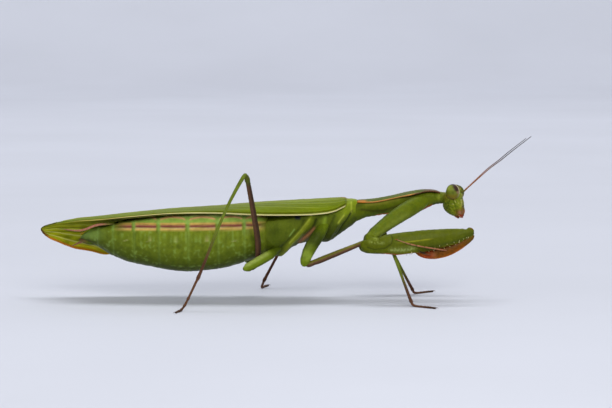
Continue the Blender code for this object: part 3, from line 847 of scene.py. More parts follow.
def cuticle(name, **changes):
    """Insect skin: the painted tint, clouded and speckled, finely grained and a little waxy."""
    look = {**USUAL_SKIN, **changes}
    finish = Finish(name)
    clouds = finish.texture("TexNoise", 1 / (look["cloud"] * MM), Detail=5.0)
    colour = finish.clouded(finish.tint(), clouds, 1 - look["cloudy"], 1 + look["cloudy"] * 0.7)
    dots = finish.texture("TexVoronoi", 1 / (look["speckle"] * MM))
    light = finish.remap(dots.outputs["Distance"], 0.05, 0.32, look["speckled"], 0.0)
    grain = finish.texture("TexNoise", 1 / (look["grain"] * MM), Detail=3.0)
    pits = finish.texture("TexVoronoi", 0.6 / (look["grain"] * MM))
    normal = finish.bump(grain.outputs[0], look["depth"], 0.8)
    rough = look["roughness"]
    return finish.made(
        Base_Color=finish.mixed("SCREEN", light, colour, (0.55, 0.60, 0.20, 1.0)),
        Normal=finish.bump(pits.outputs["Distance"], look["depth"] * 0.6, 0.5, Normal=normal),
        Roughness=finish.remap(grain.outputs[0], 0.3, 0.7, rough - 0.08, rough + 0.1),
        Specular_IOR_Level=0.12,
        Specular_Tint=(0.9, 1.0, 0.5, 1.0),
        Coat_Weight=look["coat"],
        Coat_Roughness=0.28,
        Subsurface_Weight=look["depthlight"],
        Subsurface_Radius=(0.7, 1.0, 0.25),
        Subsurface_Scale=0.35 * MM,
    )


def eye_material():
    """Compound eye: fine six-sided facets under a clear gloss."""
    finish = Finish("compound_eye")
    streaks = finish.texture("TexNoise", 1600.0, (1.0, 1.0, 0.35), Detail=3.0)
    facets = finish.texture("TexVoronoi", 14000.0, Randomness=0.35)
    return finish.made(
        Base_Color=finish.clouded(finish.tint(), streaks, 0.78, 1.2),
        Normal=finish.bump(facets.outputs["Distance"], -0.008, 0.35),
        Roughness=0.4,
        Specular_IOR_Level=0.10,
        Coat_Weight=0.07,
        Coat_Roughness=0.2,
        Subsurface_Weight=0.1,
        Subsurface_Radius=(0.6, 0.8, 0.3),
        Subsurface_Scale=0.3 * MM,
    )


def wing_material():
    """Leathery fore wing: a net of small cells drawn out along the wing, between its veins."""
    finish = Finish("tegmen_skin")
    cells = finish.texture("TexVoronoi", 2200.0, (0.30, 1.0, 1.0))
    cells.feature = "DISTANCE_TO_EDGE"
    net = finish.remap(cells.outputs["Distance"], 0.0, 0.09, 1.0, 0.0)
    clouds = finish.texture("TexNoise", 420.0, (0.4, 1.0, 1.0), Detail=4.0)
    colour = finish.clouded(finish.tint(), clouds, 0.84, 1.14)
    faint = finish.remap(net, 0.0, 1.0, 0.0, 0.06)
    grain = finish.texture("TexNoise", 7000.0, Detail=3.0)
    normal = finish.bump(grain.outputs[0], 0.02, 0.6)
    return finish.made(
        Base_Color=finish.mixed("MIX", faint, colour, (*srgb(170, 182, 84), 1.0)),
        Normal=finish.bump(net, 0.02, 0.4, Normal=normal),
        Roughness=finish.remap(grain.outputs[0], 0.3, 0.7, 0.36, 0.5),
        Specular_IOR_Level=0.06,
        Specular_Tint=(0.9, 1.0, 0.4, 1.0),
        Subsurface_Weight=0.2,
        Subsurface_Radius=(0.7, 1.0, 0.25),
        Subsurface_Scale=0.25 * MM,
    )


# Abdomen


def abdomen_places(grid):
    """Each point's height over the fold, its share of the way along its ring, and that as a bow."""
    x, _, z = np.moveaxis(grid, -1, 0)
    share = np.zeros_like(x)
    for front, rear in zip(SEAMS, SEAMS[1:]):
        share = np.where((x <= front) & (x > rear), (front - x) / (front - rear), share)
    return z - np.interp(x, *zip(*FOLD)), share, np.sin(PI * share)


def build_abdomen(skin):
    grid = trunk_grid(ABDOMEN, 430, 176, (5.2, 2.7, 2.15))
    x, y, z = np.moveaxis(grid, -1, 0)
    above, share, bow = abdomen_places(grid)
    flank = np.abs(y) > FLAT_BACK
    relief = 0.03 * bow**0.7
    for seam in SEAMS:
        wavy = seam + 0.05 * np.sin(z * 1.2 + seam)
        relief += 0.02 * hump(x, wavy + 0.25, 0.20) - 0.035 * hump(x, wavy - 0.02, 0.11)
    relief += flank * (0.07 * hump(above, -0.48, 0.24) - 0.08 * hump(above, 0.02, 0.13))
    relief += flank * (0.06 * hump(above, 0.34, 0.14) + 0.05 * hump(above, 0.9 + 0.5 * bow, 0.2))
    relief += -0.03 * hump(above, -2.3, 0.12) * flank * window(share, 0.15, 0.35, 0.7, 0.9)
    relief += 0.035 * ripple(grid, 1.7, 0.4) + 0.008 * ripple(grid, 0.7, 1.3)
    finished = raised(grid, relief * ramp(x, -33.3, -31.5))
    body = Body().add(finished, paint_abdomen(grid, finished))
    add_tail(body)
    body.build("abdomen", skin, "abdomen_green", "abdomen_front", "abdomen_rear", "abdomen_tip")


def paint_abdomen(grid, finished):
    """Green, darker towards the belly as painted shade, mottled, with bands along the fold, ring edges and
    breathing holes.
    """
    x, y, z = np.moveaxis(grid, -1, 0)
    above, share, bow = abdomen_places(grid)
    flank = np.abs(y) > FLAT_BACK
    low = z - z.min(axis=1, keepdims=True)
    cloud = patches(finished, 1.9, 0.3, 0.8, 1.9)
    tint = painted(
        FLANK_GREEN,
        # painted shade: darker towards the bottom of each ring
        (srgb(58, 70, 6), 0.9 * ramp(low, 4.6, 0.0)),
        (BRIGHT_GREEN, 0.22 * hump(above, -1.2, 0.9) * ramp(x, -30, -20)),
        (DEEP_GREEN, 0.45 * ramp(cloud, 0.05, 0.6)),
        (SEAM_GREEN, 0.32 * ramp(-cloud, 0.15, 0.7) * (above < -0.7)),
    )
    tint = paint_flank_bands(tint, x, above, share, bow)
    for seam in SEAMS:
        edge = hump(x, seam + 0.1, 0.26)
        tint = painted(
            tint,
            (SEAM_GREEN, 0.6 * edge * window(above, -1.1, -0.3, 1.5, 2.0)),
            (SEAM_GREEN, 0.15 * edge * ramp(above, -0.3, -1.1) * ramp(z, 5.5, 8.0)),
            (DEEP_GREEN, 0.2 * hump(x, seam - 0.05, 0.09) * (above < -0.4)),
        )
    for front, rear in zip(SEAMS[:-2], SEAMS[1:-1]):
        centre = front + 0.36 * (rear - front)
        near = hump(x, centre, 0.42) * hump(z - 0.25 * (x - centre), 10.35, 0.10)
        core = hump(x, centre, 0.12) * hump(z, 10.33, 0.08)
        tint = painted(tint, (srgb(190, 190, 120), 0.45 * near * flank), (BROWN, 0.5 * core * flank))
    return painted(
        tint,
        (PINK, 0.5 * hump(x, -9.0, 0.45) * hump(z, 11.5, 0.14) * (y < 0)),
        (SEAM_GREEN, 0.5 * ramp(x, -28.5, -33.0) * ramp(z, 9.8, 11.0)),
        (DARK, 0.7 * ramp(x, -31.6, -32.6) * ramp(z, 10.4, 9.9)),
        (srgb(92, 104, 20), 0.85 * ramp(x, -5.4, -3.3)),
    )


def paint_flank_bands(tint, x, above, share, bow):
    """Each ring's stripes along the fold: cream below, purple on it, orange and an arc above; the pale
    plates above the fold are painted lighter to make up for the wing's shadow.
    """
    inside = window(share, 0.04, 0.13, 0.90, 0.98) * ramp(x, -28.8, -25.2)
    arc = hump(above, 0.85 + 0.62 * np.clip(bow, 0, 1) ** 0.6, 0.15)
    stripe = hump(above, 0.04 + 0.08 * (share - 0.5), 0.22 - 0.08 * share)
    return painted(
        tint,
        # pale green back plates above the fold, painted lighter still as painted light against the shadow
        # of the wing
        (srgb(140, 170, 72), ramp(above, 0.30, 0.50) * 0.85),
        (srgb(196, 214, 130), ramp(above, 1.35, 1.7) * 0.8),
        (srgb(226, 158, 118), 0.85 * arc * inside),
        (srgb(206, 152, 84), 0.85 * hump(above, 0.44, 0.17) * inside),
        (srgb(206, 168, 92), 0.9 * hump(above, -0.42, 0.21) * inside),
        (srgb(222, 190, 150), 0.5 * hump(above, -0.22, 0.07) * inside),
        (MAUVE, np.minimum(1.3 * stripe, 0.96) * inside),
        (srgb(196, 130, 96), 0.5 * hump(above, 0.22, 0.06) * inside),
    )


def add_tail(body):
    """The egg-laying valves and the last plate at the end of the abdomen."""
    for side in SIDES.values():
        grid = sweep(sided(VALVE, side), 24, 20)
        share, _ = shares(grid)
        body.add(grid, painted(DEEP_GREEN, (BROWN, ramp(share, 0.3, 0.8) * 0.8)))
    grid = sweep(TAIL_PLATE, 26, 28)
    share, _ = shares(grid)
    body.add(grid, painted(GREEN, (ORANGE, ramp(share, 0.6, 1.0) * 0.6)))


def build_cerci(skin):
    for name, rows in CERCI.items():
        grid = sweep(rows, 110, 16)
        share, _ = shares(grid)
        rings = 12
        grid = raised(grid, 0.012 * beads(share, rings))
        tint = painted(
            srgb(166, 112, 92),
            (BROWN, 0.5 * ramp(share, 0.5, 1.0)),
            (RUST, 0.4 * hump((share * rings) % 1.0, 0.75, 0.15)),
            (srgb(112, 124, 44), 0.8 * ramp(share, 0.30, 0.08)),
        )
        body = Body().add(grid, tint)
        table = smooth(rows, 15)
        for index in range(1, 14):
            for turn in range(3):
                angle = 2.1 * turn + index
                out = np.array((-0.6, math.sin(angle), math.cos(angle)))
                root = table[index, :3]
                spike(body, root, root + out * (table[index, 3] + 0.09), 0.014, PINK, sides=5)
        body.build("cercus_" + name, skin, "feeler", "cercus_" + name)


# Thorax and neck


def build_thorax(skin):
    grid = trunk_grid(THORAX, 260, 160, (2.6, 2.6, 2.1))
    x, y, z = np.moveaxis(grid, -1, 0)
    strip = along_line(grid, ((4.1, 14.2), (3.6, 13.1), (2.2, 11.3), (0.6, 9.5), (-0.9, 7.5)), 0.40)
    fore_strip = along_line(grid, ((9.6, 14.5), (8.9, 13.4), (7.9, 12.0), (7.0, 10.4)), 0.34)
    furrow = along_line(grid, ((5.0, 13.7), (4.5, 12.3), (3.2, 10.9), (2.0, 9.4)), 0.26)
    fore_furrow = along_line(grid, ((10.9, 14.9), (10.0, 13.4), (9.2, 12.4), (8.4, 11.0)), 0.20)
    rear_furrow = along_line(grid, ((3.0, 13.6), (2.6, 12.6), (1.0, 10.8), (-1.2, 8.6)), 0.24)
    wing_root = along_line(grid, ((9.4, 15.1), (7.0, 14.4), (3.6, 14.2), (0.0, 13.7), (-3.0, 13.3)), 0.22)
    brace = along_line(grid, ((6.4, 14.0), (6.1, 12.6), (5.4, 11.2)), 0.40)
    flute = along_line(grid, ((8.0, 14.2), (7.4, 12.8), (6.6, 11.2)), 0.24)
    streak = along_line(grid, ((1.4, 12.1), (0.6, 11.0)), 0.12)
    knob = hump(x, 9.6, 0.55) * hump(y, 0.0, 0.8) * ramp(z, 15.8, 16.4)
    relief = 0.30 * strip + 0.22 * fore_strip - 0.20 * furrow - 0.20 * fore_furrow - 0.12 * rear_furrow
    relief += 0.16 * wing_root + 0.20 * brace - 0.10 * flute + 0.06 * streak + 0.45 * knob
    relief += 0.05 * ripple(grid, 1.5, 0.2) + 0.02 * ripple(grid, 0.6, 1.1)
    grid = raised(grid, relief * ramp(x, -3.9, -3.0))
    cloud = patches(grid, 2.1, 0.8, 0.7, 2.2)
    hollows = np.maximum.reduce((furrow, fore_furrow, 0.6 * rear_furrow, 0.6 * flute))
    patch = along_line(grid, ((4.7, 12.1), (3.4, 10.9), (2.3, 9.9)), 0.34)
    ink_spot = np.exp(-(((x - 1.95) / 0.52) ** 4) - ((z - 14.0) / 0.30) ** 4)
    tint = painted(
        srgb(86, 98, 18),
        (DEEP_GREEN, 0.5 * ramp(cloud, 0.0, 0.6)),
        # painted shade: darker towards the bottom and rear
        (srgb(52, 62, 8), 0.9 * ramp(z - 0.35 * x, 12.0, 7.8)),
        # painted shadow of the hind leg across the rear of the thorax
        (srgb(60, 74, 8), 0.6 * hump(x, -1.8, 1.3) * ramp(z, 13.5, 11.5)),
        (BRIGHT_GREEN, 0.55 * ramp(x, 6.5, 10.5) * ramp(z - 0.5 * (x - 10), 13.0, 15.0)),
        # painted shade in the furrows
        (srgb(36, 46, 8), 0.9 * hollows),
        (srgb(128, 138, 30), 0.75 * strip),
        (LIME, 0.45 * along_line(grid, ((3.9, 13.9), (2.4, 11.9), (0.6, 9.8)), 0.12)),
        (LIME, 0.6 * along_line(grid, ((9.5, 14.3), (8.6, 13.1)), 0.16)),
        (srgb(128, 150, 42), 0.7 * brace),
        (SEAM_GREEN, 0.55 * streak),
        (srgb(156, 104, 72), 0.75 * patch * (1 - strip)),
        (INK, 0.97 * ink_spot * (np.abs(y) > 2)),
        (LIME, 0.5 * along_line(grid, ((10.75, 16.4), (10.75, 14.8)), 0.14)),
        (srgb(150, 100, 44), 0.75 * knob),
    )
    Body().add(grid, tint).build("thorax", skin, "body_green", "mesothorax", "metathorax")


def pronotum_grid():
    """A roof-shaped shield with a rolled rim, as rings across it."""
    count = 300
    across = 61
    stations = np.linspace(PRONOTUM[0][0], PRONOTUM[-1][0], count)
    keel, rim, half = (values[:, None] for values in at_stations(PRONOTUM, stations))
    share = np.linspace(-1, 1, across)[None, :]
    lift = np.clip(1 - np.abs(share) ** 2.0, 0, None) ** 0.8
    y = half * share
    z = rim + (keel - rim) * lift
    edge = np.clip((np.abs(share) - 0.88) / 0.12, 0, 1)
    z = z + 0.06 * edge**1.5
    rows = np.clip(np.sin(stations * 2 * PI / 0.4), 0, 1) * ramp(stations, 13.0, 17.0)
    y = y * (1 + 0.05 * rows[:, None] * edge / half)
    outer = np.stack((np.broadcast_to(stations[:, None], y.shape), y, z), axis=-1)
    inner = outer[:, ::-1] * np.array((1.0, 0.97, 1.0)) - np.array((0.0, 0.0, 0.16))
    return np.concatenate((outer, inner), axis=1), across


def build_pronotum(skin):
    grid, across = pronotum_grid()
    x, y = grid[..., 0], grid[..., 1]
    side_share = np.abs(y) / np.abs(y).max(axis=1, keepdims=True)
    top = np.zeros(x.shape)
    top[:, :across] = 1.0
    keel = hump(y, 0.0, 0.10) * window(x, 12.5, 14.0, 21.0, 22.5)
    halves = np.stack((x, np.abs(y)), axis=-1)
    groove = along_line(halves, ((21.0, 0.0), (21.4, 1.2), (22.1, 2.2)), 0.14, (0, 1))
    relief = (0.06 * keel - 0.07 * groove + 0.02 * ripple(grid, 0.5, 0.9)) * top
    grid = grid + np.array((0.0, 0.0, 1.0)) * relief[..., None]
    rim = ramp(side_share, 0.88, 0.93)
    tint = painted(
        srgb(78, 90, 18),
        (srgb(124, 128, 36), 0.35 * keel),
        (srgb(92, 62, 42), 0.85 * ramp(x, 22.0, 23.4)),
        (srgb(190, 128, 60), 0.92 * rim),
        (srgb(170, 132, 60), 0.7 * rim * hump(x, 18.5, 1.6)),
        (srgb(70, 42, 30), 0.88 * rim * ramp(x, 20.4, 21.6)),
        # underside painted dark brown as painted shade under the rim
        (srgb(84, 48, 30), 0.85 * (1 - top)),
        (ORANGE, 0.7 * ramp(x, 13.6, 12.6) * ramp(side_share, 0.2, 0.7)),
    )
    Body().add(grid, tint).build("pronotum", skin, "body_green", "prothorax")


def build_fore_body(skin):
    """The slim body under the shield, and the neck."""
    grid = trunk_grid(UNDER_BODY, 280, 96, (2.3, 2.3, 2.0))
    x, _, z = np.moveaxis(grid, -1, 0)
    lowest = z.min(axis=1, keepdims=True)
    folds = np.sin(x * 2 * PI / 0.62 + 1.5 * np.sin(z * 1.1)) * ramp(x, 23.6, 24.6)
    relief = 0.018 * folds + 0.03 * ripple(grid, 0.9, 0.5)
    relief += 0.012 * np.sin(x * 2 * PI / 0.8) * ramp(z - lowest, 1.2, 0.3) * (x < 20)
    relief += 0.10 * hump(z - lowest, 0.25, 0.2) * window(x, 21.3, 22.2, 23.6, 24.3)
    grid = raised(grid, relief)
    cloud = patches(grid, 1.6, 0.8, 0.5, 2.2)
    line = along_line(grid, ((12.4, 15.2), (14.6, 14.9), (16.1, 15.0), (19.0, 15.96), (21.5, 16.8)), 0.24)
    ledge = along_line(grid, ((13.2, 15.9), (16.0, 16.2), (18.5, 16.9)), 0.24)
    belly = window(x, 14.4, 15.4, 17.8, 18.8) * ramp(z - lowest, 0.3, 0.12)
    patch = window(x, 21.6, 22.1, 23.8, 24.3) * ramp(z - lowest, 0.5, 0.22)
    tint = painted(
        srgb(86, 98, 12),
        (DEEP_GREEN, 0.45 * ramp(cloud, 0.0, 0.6)),
        # painted shade: darker towards the bottom, behind and under the neck
        (DEEP_GREEN, 0.6 * ramp(z - lowest, 1.4, 0.4) * ramp(x, 22, 20)),
        (srgb(46, 56, 8), 0.7 * ramp(z - lowest, 0.6, 0.1) * ramp(x, 23.4, 24.2)),
        # painted shade: a dark band above the fore coxa
        (srgb(52, 50, 12), 0.75 * line),
        (srgb(124, 120, 36), 0.5 * ledge),
        # painted shade under the shield's rim along the top
        (srgb(52, 50, 16), 0.7 * ramp(z - lowest, 2.0, 3.2) * ramp(x, 22.5, 21.5)),
        (srgb(190, 108, 52), 0.85 * belly),
        (srgb(150, 52, 18), 0.9 * patch),
        (LIME, 0.25 * hump(x, 25.15, 0.22) * ramp(z, 16.2, 17.0)),
        (srgb(124, 112, 26), 0.5 * ramp(x, 25.4, 26.4) * ramp(z, 16.4, 17.2)),
    )
    Body().add(grid, tint).build("fore_body_and_neck", skin, "body_green", "neck")


# Head


def head_matrix():
    turn = Matrix.Rotation(math.radians(HEAD_YAW_DEG), 3, "Z")
    roll = Matrix.Rotation(math.radians(HEAD_ROLL_DEG), 3, "X")
    return np.array(turn @ roll)


def from_head(grid):
    """From the head's own frame to that of the tables."""
    return grid @ head_matrix().T + np.array(HEAD_PLACE)


def eye_field(grid, side):
    """Distance outside an eye's surface, as a share of its size, in the head's own frame."""
    x, y, z = EYE_PLACE
    lean = np.array(Matrix.Rotation(math.radians(side * EYE_TILT_DEG), 3, "X"))
    local = (grid - np.array((x, side * y, z))) @ lean.T
    return np.linalg.norm(local / np.array(EYE_RADII), axis=-1) - 1.0


def head_grid():
    count = 240
    sides = 200
    stations = np.linspace(HEAD[0][0], HEAD[-1][0], count)
    rear, front, half = (values[:, None] for values in at_stations(HEAD, stations))
    angle = np.linspace(0, 2 * PI, sides, endpoint=False)[None, :]
    cosine = np.cos(angle)
    sine = np.sin(angle)
    x = (rear + front) / 2 + (front - rear) / 2 * bent(cosine, np.where(cosine > 0, 0.72, 0.95))
    y = half * bent(sine, 0.9)
    z = np.broadcast_to(stations[:, None], y.shape)
    return np.stack((x, y, z), axis=-1)


def face_relief(grid):
    """Masks of the face and of the skull, each from 0 to 1, in the head's own frame."""
    x, y, z = np.moveaxis(grid, -1, 0)
    front = ramp(x, 0.35, 0.9)
    width = np.abs(y)
    rims = np.maximum(hump(eye_field(grid, RIGHT), 0.07, 0.07), hump(eye_field(grid, LEFT), 0.07, 0.07))
    places = [np.linalg.norm(grid - np.array((1.2, side * 0.48, 0.02)), axis=-1) for side in SIDES.values()]
    mandible = hump(z, -3.0, 0.7) * hump(width, 1.05, 0.30) * ramp(x, -0.2, 0.6)
    return {
        "front": front,
        "rims": rims,
        "sockets": sum(hump(place, 0.0, 0.22) for place in places),
        "socket_rings": sum(hump(place, 0.27, 0.07) for place in places),
        "shield": hump(z, -0.62, 0.34) * hump(width, 0.0, 0.95) * front,
        "brow": hump(z, -0.26, 0.09) * hump(width, 0.0, 1.0) * front,
        "frons_seam": hump(z, -1.15 - 0.10 * width, 0.06) * (width < 1.3) * front,
        "clypeus": hump(z, -1.75, 0.5) * hump(width, 0.0, 0.85) * front,
        "clypeus_seam": hump(z, -2.55 + 0.08 * width, 0.06) * (width < 1.1) * front,
        "labrum": hump(z, -3.3, 0.50) * hump(width, 0.0, 0.60) * front,
        "labrum_edge": hump(width - 0.28 * ramp(z, -3.9, -2.6), 0.46, 0.08) * (z < -2.5) * front,
        "mandible": mandible,
        "cheek_seam": hump(x + 0.2 * (z + 1.5), 0.25, 0.08) * (z < -1.3) * (width > 0.7),
        "crown": sum(hump(y, side * 0.55, 0.09) for side in (-1, 1)) * ramp(z, 0.1, 0.7) * (1 - front),
    }


def paint_face(grid, face):
    x, _, z = np.moveaxis(grid, -1, 0)
    profile = np.stack((x, z), axis=-1)
    mottle = ripple(grid, 0.62, 0.4) * 0.6 + ripple(grid, 0.33, 1.7) * 0.6
    tint = painted(
        srgb(104, 118, 20),
        (DEEP_GREEN, 0.55 * ramp(x, 0.2, -1.2) * ramp(z, 0.2, -1.6)),
        (srgb(44, 54, 8), 0.65 * ramp(mottle, 0.10, 0.60) * (1 - 0.5 * face["front"])),
        (srgb(146, 144, 40), 0.50 * ramp(-mottle, 0.10, 0.65)),
        (srgb(150, 128, 40), 0.5 * hump(x, -1.0, 0.7) * hump(z, -0.9, 0.5)),
        (srgb(160, 156, 60), 0.6 * face["shield"]),
        (srgb(150, 142, 60), 0.5 * face["clypeus"]),
    )
    for streak in CHEEK_STREAKS:
        line = along_line(profile, streak, 0.08, (0, 1)) * ramp(mottle, -0.5, 0.1)
        tint = painted(tint, (srgb(206, 200, 116), 0.5 * line))
    muzzle = ramp(-z, 2.75, 3.35) * ramp(x, 0.2, 0.8)
    pink = hump(x, 1.15, 0.22) * hump(z, -3.45, 0.30)
    return painted(
        tint,
        (DEEP_GREEN, 0.7 * np.maximum(face["frons_seam"], face["brow"] * 0.7)),
        (srgb(104, 46, 22), 0.75 * face["clypeus_seam"]),
        (srgb(52, 54, 14), 0.7 * ramp(x, 1.30, 1.60) * hump(z, -2.9, 0.7)),
        (srgb(104, 76, 22), 0.75 * muzzle),
        (srgb(186, 130, 108), 0.75 * pink),
        (srgb(150, 92, 66), 0.8 * face["labrum"]),
        (srgb(120, 36, 20), 0.85 * np.maximum(face["labrum_edge"], face["mandible"] * 0.35)),
        (ORANGE, 0.7 * spot(grid, (1.5, 0.25, -1.4), 0.22)),
        (srgb(122, 112, 28), 0.5 * face["rims"]),
        (srgb(206, 190, 140), 0.85 * face["rims"] * ramp(x, 0.6, 1.0) * ramp(z, -1.1, -0.5)),
        (BROWN, 0.6 * face["sockets"]),
        (DEEP_GREEN, 0.5 * face["cheek_seam"]),
        (srgb(70, 44, 40), 0.75 * ramp(z, 0.35, 0.75)),
        (DEEP_GREEN, 0.45 * face["crown"]),
    )


def build_head(skin, mouth_skin):
    grid = head_grid()
    face = face_relief(grid)
    relief = 0.08 * face["rims"] - 0.12 * face["sockets"] + 0.08 * face["socket_rings"]
    relief += 0.10 * face["shield"] + 0.05 * face["brow"] - 0.08 * face["frons_seam"]
    relief += 0.08 * face["clypeus"] - 0.08 * face["clypeus_seam"] + 0.12 * face["labrum"]
    relief += -0.12 * face["labrum_edge"] + 0.16 * face["mandible"] - 0.05 * face["cheek_seam"]
    relief += -0.07 * face["crown"] + 0.03 * ripple(grid, 0.62, 0.4) + 0.015 * ripple(grid, 0.3, 1.4)
    tint = paint_face(grid, face)
    grid = raised(grid, relief * ramp(grid[..., 2], -4.0, -3.7))
    body = Body().add(from_head(grid), tint)
    for x, y, z, size in OCELLI:
        bead = (
            (x - 0.14, y, z, 0.5 * size),
            (x, y, z + 0.02, size),
            (x + 0.12, y, z + 0.03, 0.2 * size),
        )
        body.add(from_head(sweep(bead, 12, 14)), srgb(172, 128, 70))
    body.build("head_skin", skin, "body_green", "head")
    build_mouth(mouth_skin)


def build_mouth(skin):
    """Jaws, lips and the jointed palps that are folded beside them."""
    body = Body()
    for side in SIDES.values():
        grid = sweep(sided(JAW, side), 22, 18)
        share, _ = shares(grid)
        body.add(from_head(grid), painted(srgb(138, 44, 22), (DARK, ramp(share, 0.6, 1.0))))
        grid = sweep(sided(PALP, side), 50, 14)
        share, _ = shares(grid)
        tint = painted(srgb(120, 92, 36), (srgb(170, 96, 72), ramp(share, 0.4, 1.0)))
        body.add(from_head(raised(grid, 0.02 * beads(share, 5))), tint)
        grid = sweep(sided(LOWER_PALP, side), 36, 12)
        share, _ = shares(grid)
        body.add(from_head(raised(grid, 0.018 * beads(share, 3))), srgb(112, 62, 34))
    body.add(from_head(sweep(LIP, 26, 26)), srgb(128, 58, 32))
    grid = sweep(LABRUM, 24, 26)
    share, _ = shares(grid)
    tint = painted(
        srgb(140, 76, 50),
        (srgb(140, 50, 30), ramp(share, 0.4, 0.8)),
        (srgb(60, 44, 22), 0.7 * ramp(grid[..., 0], 1.45, 1.7)),
    )
    body.add(from_head(grid), tint)
    body.build("jaws_and_palps", skin, "mouth", "mouthparts")


def build_eyes(finish):
    for name, side in SIDES.items():
        rings = 90
        sides = 120
        polar = np.linspace(0.03, PI - 0.03, rings)[:, None]
        angle = np.linspace(0, 2 * PI, sides, endpoint=False)[None, :]
        level = np.sin(polar)
        unit = np.stack((level * np.cos(angle), level * np.sin(angle), np.cos(polar) + 0 * angle), axis=-1)
        bulge = 1 + 0.05 * np.clip(unit[..., 2], 0, 1) * np.clip(side * unit[..., 1], 0, 1)
        lean = np.array(Matrix.Rotation(math.radians(-side * EYE_TILT_DEG), 3, "X"))
        grid = (unit * bulge[..., None] * np.array(EYE_RADII)) @ lean.T
        grid = grid + np.array((EYE_PLACE[0], side * EYE_PLACE[1], EYE_PLACE[2]))
        up = unit[..., 2]
        turn = np.degrees(np.arctan2(side * unit[..., 1], unit[..., 0]))
        band = ramp(up, 0.02, 0.3) * window(turn, 14, 24, 40 + 30 * up, 66 + 40 * up)
        mauve = hump(up, 0.02, 0.16) * hump(turn, 34, 14)
        pale = hump(turn, 4, 11) * window(up, -0.5, -0.2, 0.9, 0.99)
        tint = painted(
            # the left eye's base is darker than the right's as painted shade
            srgb(96, 106, 24) if side == RIGHT else srgb(72, 84, 16),
            (srgb(136, 146, 62), 0.6 * hump(up, 0.55, 0.3) * hump(turn, 120, 35)),
            (srgb(116, 96, 20), 0.7 * ramp(-up, 0.0, 0.5)),
            (srgb(128, 88, 24), 0.7 * ramp(-up, 0.72, 0.92)),
            (srgb(48, 22, 30), 0.93 * np.maximum(band, ramp(up, 0.86, 0.97))),
            (srgb(140, 92, 96), 0.7 * mauve),
            (srgb(206, 192, 150), (0.9 if side == RIGHT else 0.2) * pale),
            (srgb(60, 58, 24), 0.35 * hump(turn, 84, 9) * hump(up, 0.0, 0.11)),
        )
        Body().add(from_head(grid), tint).build("compound_eye_" + name, finish, "eye", "eye_" + name)


def build_antennae(skin):
    for name, side in SIDES.items():
        drop = ANTENNA_DROP if side == LEFT else 0.0
        reach = ANTENNA[-1][0] - ANTENNA[0][0]
        rows = []
        for x, y, z, radius in ANTENNA:
            shift = ANTENNA_ROOT_SHIFT * float(ramp(x, 31.4, 29.3))
            rows.append((x, side * y + shift, z - drop * (x - ANTENNA[0][0]) / reach, radius))
        grid = sweep(rows, 420, 12, (0.2, 0.9, -0.3))
        share, _ = shares(grid)
        rings = 62
        thin = ramp(share, 0.10, 0.14)
        relief = 0.010 * beads(share, rings) * thin
        relief += 0.03 * (1 - thin) * (hump(share, 0.035, 0.02) + 0.8 * hump(share, 0.075, 0.012))
        grid = raised(grid, relief)
        tint = painted(
            srgb(140, 84, 54),
            (srgb(50, 38, 38), ramp(share, 0.25, 0.7)),
            (DEEP_GREEN, 0.8 * ramp(share, 0.09, 0.03)),
            (DARK, 0.35 * hump((share * rings) % 1.0, 0.75, 0.2) * thin),
        )
        Body().add(grid, tint).build("feeler_" + name, skin, "feeler", "antenna_" + name)


# Wings


def wing_surface(name, count, columns, lift=0.0):
    """Points of a tegmen's upper face, its share across, and the distance from its front edge."""
    side = SIDES[name]
    table = smooth(TEGMEN[name], count, 1)
    x, height, inner, outer, fall = (table[:, column][:, None] for column in range(5))
    turn = np.linspace(0, PI / 2, columns)[None, :]
    power = 2 / WING_POWERS[name]
    reach = np.sin(turn) ** power
    down = 1 - np.cos(turn) ** power
    y = side * (inner + (outer - inner) * reach)
    z = height - fall * down + lift
    grid = np.stack((np.broadcast_to(x, y.shape), y, z), axis=-1)
    steps = np.linalg.norm(np.diff(grid, axis=1), axis=-1)
    run = np.concatenate((np.zeros((count, 1)), np.cumsum(steps, axis=1)), axis=1)
    width = run[:, -1:]
    return grid, run / width, width - run


def surface_normals(grid):
    """The upward direction at each point of a sheet."""
    normal = np.cross(np.gradient(grid, axis=0), np.gradient(grid, axis=1))
    normal /= np.linalg.norm(normal, axis=-1, keepdims=True) + 1e-12
    return normal * (-1 if normal[..., 2].mean() < 0 else 1)


def vein_pattern(x, share, root, tip, count):
    """Long veins that leave the root close together and run out fanwise to the tip and edge."""
    along = np.clip((root - x) / (root - tip), 0, 1)
    spread = share * (0.55 + 0.45 * along) + 0.18 * along * (1 - share)
    return np.abs(np.sin(spread * count * PI)) ** 14


def paint_far_end(tint, grid, share, edge, veins):
    """The left wing's end, seen past the tip of the right one: yellow with streaks, edged orange; the
    yellow is painted bright for light shining through the wing, and its inner part is darkened as painted
    shade.
    """
    x = grid[..., 0]
    rear = ramp(x, -24.0, -34.0)
    clouds = ripple(grid * (0.3, 1.4, 1.0), 1.1, 1.2)
    streaks = np.sin(share * 40 + 2.4 * ripple(grid * (0.3, 1.0, 1.0), 2.2, 0.9))
    return painted(
        tint,
        # yellow underside, painted brighter as light shining through the thin wing
        (srgb(166, 166, 22), 0.85 * rear),
        (srgb(104, 112, 12), 0.55 * rear * ramp(clouds, 0.0, 0.7)),
        (srgb(78, 88, 8), 0.50 * rear * ramp(streaks, 0.1, 0.9)),
        (srgb(216, 212, 116), 0.6 * rear * veins * ramp(share, 0.35, 0.6)),
        (srgb(206, 190, 28), 0.8 * ramp(x, -36.5, -34.5) * rear * ramp(edge, 1.2, 0.6)),
        (srgb(176, 96, 20), 0.9 * rear * ramp(edge, 0.55, 0.26)),
        (srgb(60, 36, 18), 0.9 * ramp(x, -39.2, -40.5) * ramp(edge, 0.9, 0.3)),
        # painted shade along the inner part, under the ridge
        (srgb(64, 62, 14), 0.85 * rear * ramp(share, 0.26, 0.05)),
    )


def closed_sheet(upper, lower):
    """One ring-by-ring grid from the two faces of a thin plate."""
    return np.concatenate((upper, lower[:, ::-1]), axis=1)


